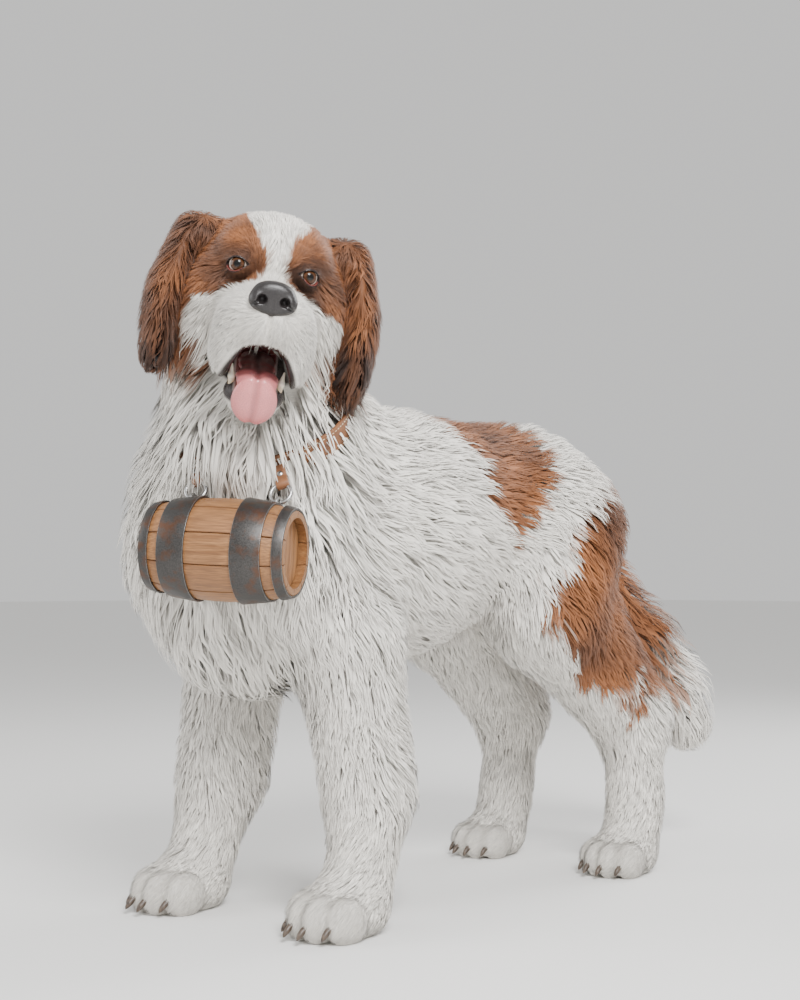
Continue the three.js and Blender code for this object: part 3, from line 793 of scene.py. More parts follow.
def coverage(p, depth, style):
    """How many layers of tufts lie over each place."""
    layers = style["layers"] + style["fuller"] * rise(depth, 6, 24)
    layers = layers * (1 + 2.6 * rise(p[:, 1], 480, 640))
    inside = to_local(HEAD, p)
    eyes = np.minimum(lid_opening(inside, 1)[0], lid_opening(inside, -1)[0]) < 2.2
    nose = joined(NOSE, inside, 0) < 1.5
    bare = ((mouth_share(p) > 0.3) | eyes | nose) & in_head_room(p, 20)
    sole = p[:, 2] < 4
    return np.where(bare | sole, 0, layers)


def clumped(roots, chance):
    """The root of the lock that each tuft belongs to."""
    count = max(1, len(roots) // IN_A_LOCK)
    leaders = chance.permutation(len(roots))[:count]
    tree = kdtree.KDTree(count)
    for i, r in enumerate(leaders):
        tree.insert(roots[r], i)
    tree.balance()
    return leaders[np.array([tree.find(r)[1] for r in roots])]


def tuft_paths(roots, depth, leader, steps, style, chance):
    """The line of each tuft from its root to its tip, with the skin's normal along it."""
    n = len(roots)
    own = chance.random(n)
    shared = chance.random(n)[leader]
    reach = (LENGTH_BASE + LENGTH_PER_DEPTH * depth) * (0.72 + 0.34 * own + 0.3 * shared)
    loose = rise(depth, 4, 30)
    top = style["low"] + (style["high"] - style["low"]) * np.sqrt(chance.random(n)) * (0.85 + 0.15 * shared)
    top = top * (0.85 + 0.15 * loose) + 0.16 * rise(depth, 42, 58) + 0.35 * (1 - rise(depth, 4, 9))
    swirl = (chance.random(n)[leader] - 0.5) * (0.2 + 0.4 * loose) * style["wander"]
    swirl += (chance.random(n) - 0.5) * (0.10 + 0.08 * loose) * style["wander"]
    phase = chance.random(n)[leader] * 6.28
    place = roots.copy()
    path = []
    normals = []
    for k in range(steps + 1):
        t = k / steps
        here, gradient = slope_of(field, place)
        normal = unit(gradient)
        weights = part_weights(place)
        tips = field(place, 1)
        room = np.maximum(here - tips, 0.5)
        share = top * (1 - (1 - t) ** 1.6)
        if k == 0:
            share = BELOW_SKIN
        place = place + normal * (share * room - here)[:, None]
        path.append(place)
        normals.append(normal)
        way = lie(place, weights)
        way -= normal * np.einsum("ij,ij->i", way, normal)[:, None]
        way = unit(way)
        aside = np.cross(normal, way)
        bend = swirl + 0.3 * np.sin(phase + 4.5 * t) * loose
        way = unit(way + aside * bend[:, None])
        place = place + way * (reach / steps)[:, None]
    path = np.stack(path, 1)
    pull = (path[leader] - path) * np.linspace(0, 1, steps + 1)[None, :, None] ** 1.4
    close = np.exp(-(length(roots - roots[leader]) / 30) ** 2)
    path = path + pull * (style["clump"] * close)[:, None, None]
    path[:, :, 2] = np.maximum(path[:, :, 2], CLEAR_OF_FLOOR)
    return path, np.stack(normals, 1), reach


def unbroken(path):
    """Which tufts run on without doubling back, and end inside the coat."""
    steps = np.diff(path, axis=1)
    turns = np.einsum("ijk,ijk->ij", steps[:, 1:], steps[:, :-1])
    return np.all(turns > 0, 1) & (field(path[:, -1], 1) < STRAY)


def atlas(p, weights):
    """A place for each root on an unwrap of the skin, part by part."""
    best = weights.argmax(1)
    uv = np.zeros((len(p), 2))
    columns = 4
    for i, item in enumerate(PARTS):
        mine = best == i
        if not mine.any():
            continue
        q = p[mine] if item["matrix"] is None else to_local(item["matrix"], p[mine])
        low, high = item["low"] + PART_ROOM, item["high"] - PART_ROOM
        middle = (low + high) / 2
        lying = item["name"] in ("trunk", "head", "jaw")
        along = q[:, 1] if lying else q[:, 2]
        span = (low[1], high[1]) if lying else (low[2], high[2])
        other = q[:, 2] - middle[2] if lying else q[:, 1] - middle[1]
        u = np.arctan2(q[:, 0] - middle[0], other) / 6.2832 + 0.5
        v = np.clip((along - span[0]) / (span[1] - span[0]), 0, 1)
        cell = np.array((i % columns, i // columns))
        uv[mine] = (cell + 0.02 + 0.96 * np.stack([u, v], 1)) / columns
    return uv


def tuft_triangles(steps):
    """Corner numbers of one tuft: a closed foot, rings of three and a point."""
    faces = [(0, 2, 1)]
    for k in range(steps - 1):
        for i in range(3):
            a, b = 3 * k + i, 3 * k + (i + 1) % 3
            faces += [(a, b, b + 3), (a, b + 3, a + 3)]
    last = 3 * (steps - 1)
    for i in range(3):
        faces.append((last + i, last + (i + 1) % 3, 3 * steps))
    return np.array(faces)


def tuft_points(path, normals, width, roll, smooth):
    """Corners of tufts round their lines."""
    n, rings = path.shape[0], path.shape[1] - 1
    ahead = np.diff(path, axis=1)
    along = np.concatenate([ahead[:, :1], ahead[:, 1:] + ahead[:, :-1]], 1)
    along = unit(along.reshape(-1, 3)).reshape(n, rings, 3)
    aside = np.cross(along, normals[:, :rings])
    aside = unit(aside.reshape(-1, 3)).reshape(n, rings, 3)
    above = np.cross(aside, along)
    c, s = np.cos(roll)[:, None, None], np.sin(roll)[:, None, None]
    aside, above = aside * c + above * s, above * c - aside * s
    t = np.arange(rings) / rings
    swell = (0.62 + 0.38 * np.sin(np.pi * np.minimum(t * 1.25, 1)))[None, :, None]
    half = width[:, None, None] / 2 * swell
    left = path[:, :rings] - aside * half
    right = path[:, :rings] + aside * half
    top = path[:, :rings] + above * half * 2 * RIDGE
    ring = np.stack([left, top, right], 2).reshape(n, rings * 3, 3)
    body = normals[:, :rings] * smooth
    own = 1 - smooth
    ways = (above * 0.5 - aside, above, above * 0.5 + aside)
    shading = np.stack([body + way * own for way in ways], 2).reshape(n, rings * 3, 3)
    shading = np.concatenate([shading, normals[:, -1:]], 1)
    return np.concatenate([ring, path[:, -1:]], 1), unit(shading.reshape(-1, 3))


def tuft_colours(colour, rings, chance):
    """Each tuft has its own tone, and is darker at the root as painted shade, the short ones most."""
    # vary is each tuft's own tone; root is how bright the painted shade leaves a tuft's root, lower on
    # short tufts.
    vary, root = (0.44, 0.74) if rings < 3 else (0.16, 0.86)
    n = len(colour)
    tone = 1 + vary * (chance.random(n) - 0.5)
    t = np.concatenate([np.repeat(np.arange(rings) / rings, 3), [1.0]])
    # Painted shade: each tuft darkens towards its root, as if shaded by the coat over it.
    painted_root_shade = root + (1 - root) * np.minimum(t * 2.2, 1)
    tones = colour[:, None, :] * tone[:, None, None] * painted_root_shade[None, :, None]
    return np.concatenate([tones, np.ones((n, len(t), 1))], 2)


def coat_piece(name, path, normals, width, colour, uv, chance):
    """Tufts of like numbers of rings, as one mesh with its shading, colours and maps."""
    n, rings = path.shape[0], path.shape[1] - 1
    smooth = BODY_SHADE[0] if rings < 3 else BODY_SHADE[1]
    corners, shading = tuft_points(path, normals, width, (chance.random(n) - 0.5) * 0.9, smooth)
    faces = tuft_triangles(rings)
    each = rings * 3 + 1
    whole = (faces[None] + np.arange(n)[:, None, None] * each).reshape(-1, 3)
    item = object_of(name, corners.reshape(-1, 3), whole)
    mesh = item.data
    facing = mesh.attributes.new("custom_normal", "FLOAT_VECTOR", "POINT")
    facing.data.foreach_set("vector", shading.astype(np.float32).ravel())
    tint = mesh.color_attributes.new("coat", "FLOAT_COLOR", "POINT")
    tones = tuft_colours(colour, rings, chance)
    tint.data.foreach_set("color", tones.astype(np.float32).ravel())
    across = np.concatenate([np.tile((0.0, 0.5, 1.0), rings), [0.5]])
    along = np.concatenate([np.repeat(np.arange(rings) / rings, 3), [1.0]])
    own = np.stack([across, along], 1)
    baked = uv[:, None, :] + (own[None] - 0.5) * PATCH
    strand = own[None] + chance.random((n, 1, 2)) * STRAND_SPREAD
    for title, values in (("OFBake", baked), ("strand", strand)):
        layer = mesh.uv_layers.new(name=title)
        layer.data.foreach_set("uv", values.reshape(-1, 2)[whole.ravel()].astype(np.float32).ravel())
    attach(item, "root")
    return item


def coat_layer(style, seed):
    """One layer of the coat, as pieces of tufts with like numbers of rings, split from front to back."""
    chance = np.random.default_rng(seed)
    roots, depth = scattered(POINTS, QUADS, style, chance)
    leader = clumped(roots, chance)
    weights = part_weights(roots)
    colour = coat_at(roots, weights)
    uv = atlas(roots, weights)
    steps = 1 + sum(depth > deep for deep in RING_DEPTHS)
    path, normals, reach = tuft_paths(roots, depth, leader, LONGEST, style, chance)
    steps = np.where(unbroken(path), steps, 0)
    width = (style["width"] + style["broad"] * reach) * (0.75 + 0.5 * chance.random(len(roots)))
    pieces = []
    for count, title in ((4, "longest"), (3, "long"), (2, "middle"), (1, "short")):
        mine = np.flatnonzero(steps == count)
        mine = mine[np.argsort(roots[mine, 1])]
        rings = np.round(np.linspace(0, LONGEST, count + 1)).astype(int)
        most = MOST_TRIANGLES // (6 * count - 2)
        for i, some in enumerate(np.array_split(mine, len(mine) // most + 1)):
            name = f"coat_{style['title']}_{title}_{i + 1}"
            pieces.append(coat_piece(name, path[some][:, rings], normals[some][:, rings],
                                     width[some], colour[some], uv[some], chance))
    return pieces


coat_pieces = coat_layer(UNDER, 7) + coat_layer(OUTER, 8)


# Nose, tongue, teeth, eyes and claws
def finished(item, material, nodes=()):
    """Gives a piece its material, hangs it on the root and hides the nodes that it stands for."""
    item.data.materials.append(material)
    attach(item, "root")
    if nodes:
        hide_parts(*nodes)
    return item


def modelled(name, measure, low, high, spacing, matrix):
    """A smooth piece from a distance function in a frame of its own."""
    axes = [np.arange(low[i], high[i] + spacing, spacing) for i in range(3)]
    points, quads = net(axes, sampled(axes, measure, 4))
    points = pulled_on(points, measure)
    return object_of(name, to_world(matrix, points), quads), points


NOSTRILS = 12.5


def nose_shape(q):
    """A nose with comma-shaped nostrils, wings at their sides and a groove between them."""
    d = joined(NOSE, q, 0)
    d = smooth_max(d, -q[:, 1] - 191.5, 5)
    for s in SIDES:
        wing = distance(ball((s * 18, -182, -13), (9, 10, 9.5), 0), q, 0)
        d = smooth_min(d, wing, 5)
    for s in SIDES:
        hole = distance(ball((s * NOSTRILS, -194, -12), (5.4, 13, 5.6), 0), q, 0)
        slit = distance(limb((s * 14, -193, -15), (s * 25, -184, -20), 2.4, 1.4, 0), q, 0)
        d = smooth_max(d, -smooth_min(hole, slit, 4), 2.5)
    groove = distance(limb((0, -194, -8), (0, -190, -34), 0.5, 1.6, 0), q, 0)
    return smooth_max(d, -groove, 3)


def tongue_shape(q):
    """A soft tongue with a furrow down its middle."""
    d = joined(TONGUE, q, 0)
    x, y, z = q.T
    furrow = 2.6 * np.exp(-((x / 4.5) ** 2)) * rise(-z - y * 0.3, -60, -20)
    edge = 0.5 * np.sin(y * 0.35) * np.abs(x) / 20
    return d + furrow + edge


def teeth_shape(q):
    """Two canines and a row of six small front teeth."""
    d = None
    for s in SIDES:
        root = distance(limb((s * 26.5, -123, -84), (s * 29, -127, -68), 4.6, 3.8, 0), q, 0)
        point = distance(limb((s * 29, -127, -68), (s * 30.5, -124.5, -55), 3.8, 1.1, 0), q, 0)
        tooth = smooth_min(root, point, 3)
        d = tooth if d is None else np.minimum(d, tooth)
    for i in range(6):
        x = (i - 2.5) * 6.2
        place = (x, -146 + 0.035 * x * x, -68)
        d = np.minimum(d, distance(ball(place, (2.9, 2.2, 6.5), 0), q, 0))
    return d


EYE_RINGS = 46
EYE_SIDES = 48
IRIS = 0.80  # radians from the middle of the eye
PUPIL = 0.34


def eye_points(s):
    """An eyeball with the swelling of its cornea, looking ahead."""
    gaze = unit_of((s * 0.20, -0.97, 0.08))
    aside = unit_of(np.cross(gaze, (0, 0, 1)))
    above = np.cross(aside, gaze)
    turn = np.concatenate([np.linspace(0.0, 1.0, EYE_RINGS - 10), np.linspace(1.1, math.pi, 10)])
    t, a = np.meshgrid(turn, all_round(EYE_SIDES), indexing="ij")
    swell = 1 + 0.05 * np.exp(-((t / 0.62) ** 4))
    way = (np.cos(t)[..., None] * gaze + (np.sin(t) * np.cos(a))[..., None] * aside
           + (np.sin(t) * np.sin(a))[..., None] * above)
    radius = EYE_RADIUS / HEAD_SCALE
    points = way * (swell * radius)[..., None] + np.array((s * EYE[0], EYE[1], EYE[2]))
    return points.reshape(-1, 3), t.ravel(), a.ravel()


def eye_colours(turn, around):
    """A black pupil, a brown iris of fibres with a dark rim, and the white."""
    chance = np.random.default_rng(31)
    fibres = sum(np.sin(around * n + chance.uniform(0, 6.28)) for n in (7, 13, 23, 37)) / 4
    iris = np.array((0.050, 0.019, 0.007)) * (1 + 0.35 * fibres[:, None])
    iris = iris * (0.55 + 0.9 * rise(turn, PUPIL, 0.55))[:, None]
    colour = np.where((turn < PUPIL)[:, None], 0.003, iris)
    limbus = rise(turn, IRIS - 0.14, IRIS)[:, None]
    colour = colour * (1 - limbus) + np.array((0.012, 0.007, 0.005)) * limbus
    white = rise(turn, IRIS + 0.02, IRIS + 0.12)[:, None]
    return colour * (1 - white) + np.array((0.50, 0.40, 0.34)) * white


def grid_faces(rows, columns):
    """Quads between rings of points."""
    i, j = np.meshgrid(np.arange(rows - 1), np.arange(columns), indexing="ij")
    a = i * columns + j
    b = i * columns + (j + 1) % columns
    return np.stack([a, b, b + columns, a + columns], -1).reshape(-1, 4)


def tinted(item, colours, name="tint"):
    """Gives each corner of a mesh its colour."""
    layer = item.data.color_attributes.new(name, "FLOAT_COLOR", "POINT")
    values = np.concatenate([colours, np.ones((len(colours), 1))], 1)
    layer.data.foreach_set("color", values.astype(np.float32).ravel())


def make_eyes():
    for s, side in SIDE_NAMES:
        points, turn, around = eye_points(s)
        faces = grid_faces(EYE_RINGS, EYE_SIDES)
        item = object_of("eyeball_" + side, to_world(HEAD, points), faces)
        tinted(item, eye_colours(turn, around))
        finished(item, eye_material, ["eye_" + side])


def make_nose():
    item, _ = modelled("nose_leather", nose_shape, (-32, -200, -36), (32, -158, 14), 0.9, HEAD)
    finished(item, nose_material, ["nose"])


def make_tongue():
    item, points = modelled("tongue_flesh", tongue_shape, (-27, -172, -118), (27, -30, -48), 1.6, JAW)
    x, y, z = points.T
    # Painted shade: the tongue is darker towards the back of the open mouth and along its furrow. It is
    # also a little darker at its sides.
    depth = rise(-y, 60, 120)
    edge = rise(np.abs(x), 12, 22)
    furrow = np.exp(-((x / 3.5) ** 2))
    pink = np.array((0.62, 0.20, 0.20)) * (0.45 + 0.55 * depth)[:, None]
    pink = pink * (1 - 0.3 * furrow)[:, None] * (1 - 0.12 * edge)[:, None]
    tinted(item, pink)
    finished(item, tongue_material, ["tongue"])


TOOTH_ROOT = np.array((0.62, 0.48, 0.30))
TOOTH = np.array((0.84, 0.79, 0.66))


def make_teeth():
    item, points = modelled("teeth", teeth_shape, (-35, -154, -88), (35, -118, -50), 1.0, JAW)
    from_root = rise(points[:, 2], -76, -66)
    tinted(item, TOOTH_ROOT + (TOOTH - TOOTH_ROOT) * from_root[:, None])
    finished(item, tooth_material)


def tube_points(line, radii, sides):
    """Rings of points round a line, which starts and ends in a point where its radius is small."""
    line = np.asarray(line, float)
    along = unit(np.gradient(line, axis=0))
    reference = np.array((1.0, 0, 0)) if abs(along[0, 0]) < 0.8 else np.array((0, 0, 1.0))
    rings = []
    for place, way, radius in zip(line, along, radii):
        aside = unit_of(np.cross(way, reference))
        above = np.cross(aside, way)
        turn = all_round(sides)
        rings.append(place + radius * (np.cos(turn)[:, None] * aside + np.sin(turn)[:, None] * above))
    return np.concatenate(rings)


def gathered(shapes):
    """One list of points and one of faces from several."""
    points, faces, count = [], [], 0
    for p, f in shapes:
        points.append(p)
        faces.append(f + count)
        count += len(p)
    return np.concatenate(points), np.concatenate(faces)


CLAW_AHEAD = 32
CLAW_UP = 15
CLAW_HALF = 12
CLAW_ARCH = 3
CLAW_TILT = math.radians(36)


def make_claws():
    """Curved tapered horns, one in front of each toe."""
    shapes = []
    for foot in PAWS:
        size = foot["size"]
        for tx, ty in TOES:
            x = foot["x"] + tx * size
            middle = foot["y"] + foot["back"] + (ty - CLAW_AHEAD) * size
            t = np.linspace(-1, 1, 12)
            y = middle - CLAW_HALF * size * t * math.cos(CLAW_TILT)
            z = CLAW_UP * size - CLAW_HALF * size * t * math.sin(CLAW_TILT) + CLAW_ARCH * size * (1 - t * t)
            line = np.stack([np.full(12, x), y, z], 1)
            radii = size * np.interp(t, (-1, 0.5, 0.9, 1), (5.2, 3.8, 2.0, 0.4))
            shapes.append((tube_points(line, radii, 12), grid_faces(12, 12)))
    item = object_of("claws_horn", *gathered(shapes))
    nodes = [f"claw_{foot['name']}_{i}" for foot in PAWS for i in (1, 2, 3, 4)]
    finished(item, claw_material, nodes)


# Made pieces: closed shapes through rings of points
def swept(rings):
    """A closed shape through rings of equal numbers of points, as triangles."""
    rings = np.asarray(rings, float)
    rows, columns = rings.shape[:2]
    quads = grid_faces(rows, columns)
    i = np.arange(columns)
    first = rows * columns
    base = first - columns
    start = np.stack([np.full(columns, first), (i + 1) % columns, i], 1)
    end = np.stack([np.full(columns, first + 1), base + i, base + (i + 1) % columns], 1)
    points = np.concatenate([rings.reshape(-1, 3), rings[:1].mean(1), rings[-1:].mean(1)])
    return points, np.concatenate([quads[:, [0, 1, 2]], quads[:, [0, 2, 3]], start, end])


def hooped(rings):
    """A closed shape through rings of points that come round to the first again."""
    rings = np.asarray(rings, float)
    rows, columns = rings.shape[:2]
    quads = grid_faces(rows + 1, columns) % (rows * columns)
    return rings.reshape(-1, 3), np.concatenate([quads[:, [0, 1, 2]], quads[:, [0, 2, 3]]])


def rounded(width, height, corner, steps=3):
    """The outline of a bar, with rounded corners, about its middle."""
    outline = []
    for cx, cy, start in ((1, 1, 0), (-1, 1, 90), (-1, -1, 180), (1, -1, 270)):
        for k in range(steps + 1):
            turn = math.radians(start + 90 * k / steps)
            x = cx * (width / 2 - corner) + corner * math.cos(turn)
            y = cy * (height / 2 - corner) + corner * math.sin(turn)
            outline.append((x, y))
    return np.array(outline)


def outward(points, faces):
    """The faces turned so that the shape's volume counts as positive."""
    a, b, c = (points[faces[:, i]] for i in range(3))
    if np.einsum("ij,ij->i", a, np.cross(b, c)).sum() < 0:
        return faces[:, ::-1]
    return faces


def made(name, shapes, matrix, material, slot, nodes, own=None):
    """One object from shapes in a frame of its own, whose corners remember their own places."""
    shapes = [(p, outward(p - p.mean(0), f)) for p, f in shapes]
    points, faces = gathered(shapes)
    item = object_of(name, to_world(matrix, points), faces)
    item.data.set_sharp_from_angle(angle=math.radians(34))
    layer = item.data.attributes.new("own", "FLOAT_VECTOR", "POINT")
    values = points if own is None else own
    layer.data.foreach_set("vector", (values * MM).astype(np.float32).ravel())
    return finished(item, material, nodes)


# Keg: its axis lies along X in its own frame
KEG_LENGTH = 196
KEG_END = 55
KEG_BELLY = 68
STAVES = 10
STAVE_THICK = 9
HOOP_THICK = 3
HOOP_GAP = 0.4
HOOP_LAP = 1.0
HOOPS = {"left_end": (84, 97.5), "left": (31, 70), "right": (-70, -31), "right_end": (-97.5, -84)}
HEAD_INSET = 16
BOARDS = 5


def keg_radius(along):
    share = 2 * along / KEG_LENGTH
    return KEG_BELLY - (KEG_BELLY - KEG_END) * share * share


def polar(along, radius, turn):
    """Points round the keg's axis."""
    return np.stack([along + 0 * turn, radius * np.cos(turn), radius * np.sin(turn)], -1)


def stave(i):
    """A curved board, a little rounded along its edges and at its ends."""
    half = math.pi / STAVES
    outer = np.array((-1, -0.985, -0.95, -0.6, -0.2, 0.2, 0.6, 0.95, 0.985, 1))
    drop = np.array((1.5, 0.6, 0.1, 0, 0, 0, 0, 0.1, 0.6, 1.5))
    chance = np.random.default_rng(50 + i)
    proud = chance.uniform(-0.35, 0.15)
    places = np.array((-98, -97.4, -96, -84, -70, -50, -31, -12, 12, 31, 50, 70, 84, 96, 97.4, 98))
    rings = []
    for along in places:
        end = max(0.0, abs(along) - 96)
        radius = keg_radius(along) + proud * (1 - abs(along) / 98) - end * 0.5
        gap = 0.45 / radius
        out = polar(along, radius - drop, outer * (half - gap) + 2 * half * i)
        back = radius - STAVE_THICK + end * 0.5
        within = polar(along, np.full(5, back), np.linspace(1, -1, 5) * (half - gap) + 2 * half * i)
        rings.append(np.concatenate([out, within]))
    return swept(rings)


def hoop(start, end):
    """An iron band beaten to the barrel's slope, whose ends overlap under two rivets."""
    middle, width = (start + end) / 2, end - start
    outline = rounded(width, HOOP_THICK, 0.7, 2)
    turns = all_round(96)
    chance = np.random.default_rng(int(abs(start)))
    beat = sum(np.sin(turns * n + chance.uniform(0, 6)) for n in (9, 14, 23)) * 0.09
    lap = rise(turns, 5.34, 5.36) * (1 - rise(turns, 5.78, 5.80)) * (HOOP_LAP + 0.1)
    rings = []
    for turn, uneven, over in zip(turns, beat, lap):
        along = middle + outline[:, 0]
        radius = keg_radius(along) + HOOP_GAP + HOOP_THICK / 2 + outline[:, 1]
        radius = radius + np.where(outline[:, 1] > 0, over, 0) + np.where(outline[:, 1] > 0, uneven, 0)
        rings.append(polar(along, radius, np.full(len(along), turn)))
    return hooped(rings)


def dome(place, out, radius, height, sides=14):
    """A rivet's rounded head."""
    out = unit_of(out)
    aside = unit_of(np.cross(out, (1.0, 0.02, 0.01)))
    above = np.cross(out, aside)
    turn = all_round(sides)
    rings = []
    for level, wide in ((-0.8, 1.0), (0.0, 1.0), (0.45, 0.93), (0.8, 0.68), (0.97, 0.3)):
        ring = np.cos(turn)[:, None] * aside + np.sin(turn)[:, None] * above
        rings.append(place + out * level * height + ring * wide * radius)
    return swept(rings)


def hoop_rivets(start, end):
    """Two rivets, or on a wide hoop two pairs, through the hoop's lap."""
    shapes = []
    for turn in (5.46, 5.68):
        for along in ((start * 0.72 + end * 0.28), (start * 0.28 + end * 0.72)):
            if end - start < 20:
                along = (start + end) / 2
            radius = keg_radius(along) + HOOP_GAP + HOOP_THICK + HOOP_LAP
            out = np.array((0, math.cos(turn), math.sin(turn)))
            place = np.array((along, 0, 0)) + out * radius
            shapes.append(dome(place, out, 2.9, 1.9))
    return shapes


def head_boards(side):
    """A keg's head, of straight boards side by side, the outer ones cut to the round."""
    radius = keg_radius(KEG_LENGTH / 2 - 12) - STAVE_THICK - 2.0
    edges = np.linspace(-radius, radius, BOARDS + 1)
    middle = side * (KEG_LENGTH / 2 - HEAD_INSET)
    shapes = []
    for a, b in zip(edges[:-1], edges[1:]):
        across = np.array((a + 0.3, a + 0.5, a + 1.2, (a + b) / 2, b - 1.2, b - 0.5, b - 0.3))
        drop = np.array((1.0, 0.35, 0.05, 0, 0.05, 0.35, 1.0))
        across = np.clip(across, -radius + 0.4, radius - 0.4)
        chord = np.sqrt(radius * radius - across * across)
        rings = []
        for t in np.linspace(-1, 1, 9):
            front = np.stack([middle + side * (4 - drop), across, chord * t], -1)
            back = np.stack([np.full(7, middle - side * 4), across, chord * t], -1)[::-1]
            rings.append(np.concatenate([front, back]))
        shapes.append(swept(rings))
    return shapes


def make_keg():
    for i in range(STAVES):
        name = f"keg_stave_{i + 1}"
        points, faces = stave(i)
        chance = np.random.default_rng(80 + i)
        own = points + chance.uniform(-900, 900, 3)
        made("board_" + str(i + 1), [(points, faces)], KEG, oak_material, "keg_oak", [name], own)
    for name, (start, end) in HOOPS.items():
        shapes = [hoop(start, end)] + hoop_rivets(start, end)
        made("band_" + name, shapes, KEG, iron_material, "keg_hoop", ["keg_hoop_" + name])
    for side, name in SIDE_NAMES:
        shapes = head_boards(side)
        apart = [(211 * k, 37 * k, 90 * side) for k in range(BOARDS)]  # so that no two boards share grain
        own = np.concatenate([p[:, [2, 1, 0]] + shift for (p, f), shift in zip(shapes, apart)])
        made("end_" + name, shapes, KEG, oak_material, "keg_oak", ["keg_head_" + name], own)


# Collar: a leather band with a row of stitches along each edge
COLLAR_RADIUS = 128
COLLAR_THICK = 5
COLLAR_WIDTH = 36


def band():
    """The collar's strap, a little wavy."""
    outline = rounded(COLLAR_THICK, COLLAR_WIDTH, 1.5, 3)
    rings = []
    for turn in all_round(120):
        wave = 0.5 * math.sin(turn * 7 + 1) + 0.3 * math.sin(turn * 17)
        radius = COLLAR_RADIUS + COLLAR_THICK / 2 + outline[:, 0] + 0.25 * math.sin(turn * 11)
        up = outline[:, 1] + wave
        rings.append(np.stack([radius * math.cos(turn), radius * math.sin(turn), up], -1))
    return hooped(rings)


def capsule(a, b, radius, sides=7):
    """A stitch: a short bar with round ends."""
    a, b = np.asarray(a, float), np.asarray(b, float)
    line = np.array([a + (b - a) * t for t in (0, 0.12, 0.35, 0.65, 0.88, 1)])
    radii = radius * np.array((0.3, 0.8, 1, 1, 0.8, 0.3))
    return swept(tube_points(line, radii, sides).reshape(6, sides, 3))


def collar_stitches():
    shapes = []
    outside = COLLAR_RADIUS + COLLAR_THICK + 0.1
    for z in (-COLLAR_WIDTH / 2 + 4.5, COLLAR_WIDTH / 2 - 4.5):
        for k in range(130):
            wide = 2 * math.pi / 130
            ends = [k * wide, (k + 0.62) * wide]
            sway = [0.5 * math.sin(t * 7 + 1) + 0.3 * math.sin(t * 17) for t in ends]
            a, b = [(outside * math.cos(t), outside * math.sin(t), z + w) for t, w in zip(ends, sway)]
            shapes.append(capsule(a, b, 0.7))
    return shapes


def make_collar():
    made("band_leather", [band()], COLLAR, leather_material, "collar_leather", ["collar"])
    made("collar_thread", collar_stitches(), COLLAR, thread_material, "collar_leather", [])


# Hangers: a staple on each inner hoop, a ring through it and a leather tab from the collar
HANGER_ALONG = 60
HANGER_LEAN = 26
STAPLE_WIDTH, STAPLE_RISE, STAPLE_WIRE = 22, 11, 2.4
RING_RADIUS, RING_WIRE = 14, 2.8
TAB_WIDTH, TAB_STAND, TAB_THICK = 17, 4, 5
HANGER = KEG @ np.array(Matrix.Rotation(math.radians(-HANGER_LEAN), 4, "X"))
HOOP_TOP = keg_radius(HANGER_ALONG) + HOOP_THICK + 0.8
STAPLE_PEAK = HOOP_TOP + 0.8 + STAPLE_RISE
RING_MIDDLE = STAPLE_PEAK - STAPLE_WIRE - RING_WIRE - 0.6 + RING_RADIUS


def staple(side):
    """A bent wire with its ends under two round plates."""
    t = np.linspace(0, math.pi, 22)
    y = -STAPLE_WIDTH / 2 * np.cos(t)
    low = HOOP_TOP - 0.5
    z = low + (STAPLE_PEAK - low) * np.sin(t) ** 0.72
    line = np.stack([np.full(22, side * HANGER_ALONG), y, z], 1)
    shapes = [swept(tube_points(line, np.full(22, STAPLE_WIRE), 12).reshape(22, 12, 3))]
    for s in SIDES:
        foot = np.array((side * HANGER_ALONG, s * STAPLE_WIDTH / 2, HOOP_TOP - 0.6))
        shapes.append(dome(foot, (0, 0, 1), 4.4, 1.4))
    return shapes


def hanger_ring(side):
    """A ring through the staple."""
    around = all_round(16)
    rings = []
    for turn in all_round(48):
        radius = RING_RADIUS + RING_WIRE * np.cos(around)
        x = side * HANGER_ALONG + radius * math.cos(turn)
        z = RING_MIDDLE + radius * math.sin(turn)
        rings.append(np.stack([x, RING_WIRE * np.sin(around), z], -1))
    return [hooped(rings)]


def tab_frame(side):
    """From the ring's top up to the front of the collar: a frame and the length."""
    outside = COLLAR_RADIUS + COLLAR_THICK + TAB_STAND + TAB_THICK / 2
    across = side * HANGER_ALONG
    top = to_world(COLLAR, [(across, -math.sqrt(outside * outside - across * across), 6)])[0]
    bottom = to_world(HANGER, [(across, 0, RING_MIDDLE + RING_RADIUS)])[0]
    up = top - bottom
    long = np.linalg.norm(up)
    up /= long
    aside = unit_of(HANGER[:3, 0] - up * (HANGER[:3, 0] @ up))
    matrix = np.eye(4)
    matrix[:3, 0], matrix[:3, 1], matrix[:3, 2], matrix[:3, 3] = aside, np.cross(up, aside), up, bottom
    return matrix, long


def tab_strap(long):
    """A strap that goes down, round the ring and up again behind itself."""
    line = [(-1.35, long), (-1.35, long * 0.7), (-1.35, long * 0.4), (-1.5, 12), (-2.6, 8)]
    for k in range(13):
        turn = math.radians(150 + 20 * k)
        line.append((5.3 * math.cos(turn), 5.3 * math.sin(turn)))
    line += [(2.6, 8), (1.5, 12), (1.35, long * 0.4), (1.35, long * 0.7), (1.35, long)]
    line = np.array(line)
    along = unit(np.gradient(line, axis=0))
    outline = rounded(TAB_WIDTH, 2.4, 0.9, 2)
    rings = []
    for (y, z), (dy, dz) in zip(line, along):
        rings.append(np.stack([outline[:, 0], y - dz * outline[:, 1], z + dy * outline[:, 1]], -1))
    return [swept(rings)]


def tab_rivet():
    """The two heads of the rivet that closes the strap's loop."""
    front = dome(np.array((0, -2.6, 16)), (0, -1, 0), 4.0, 1.8)
    return [front, dome(np.array((0, 2.6, 16)), (0, 1, 0), 4.0, 1.8)]


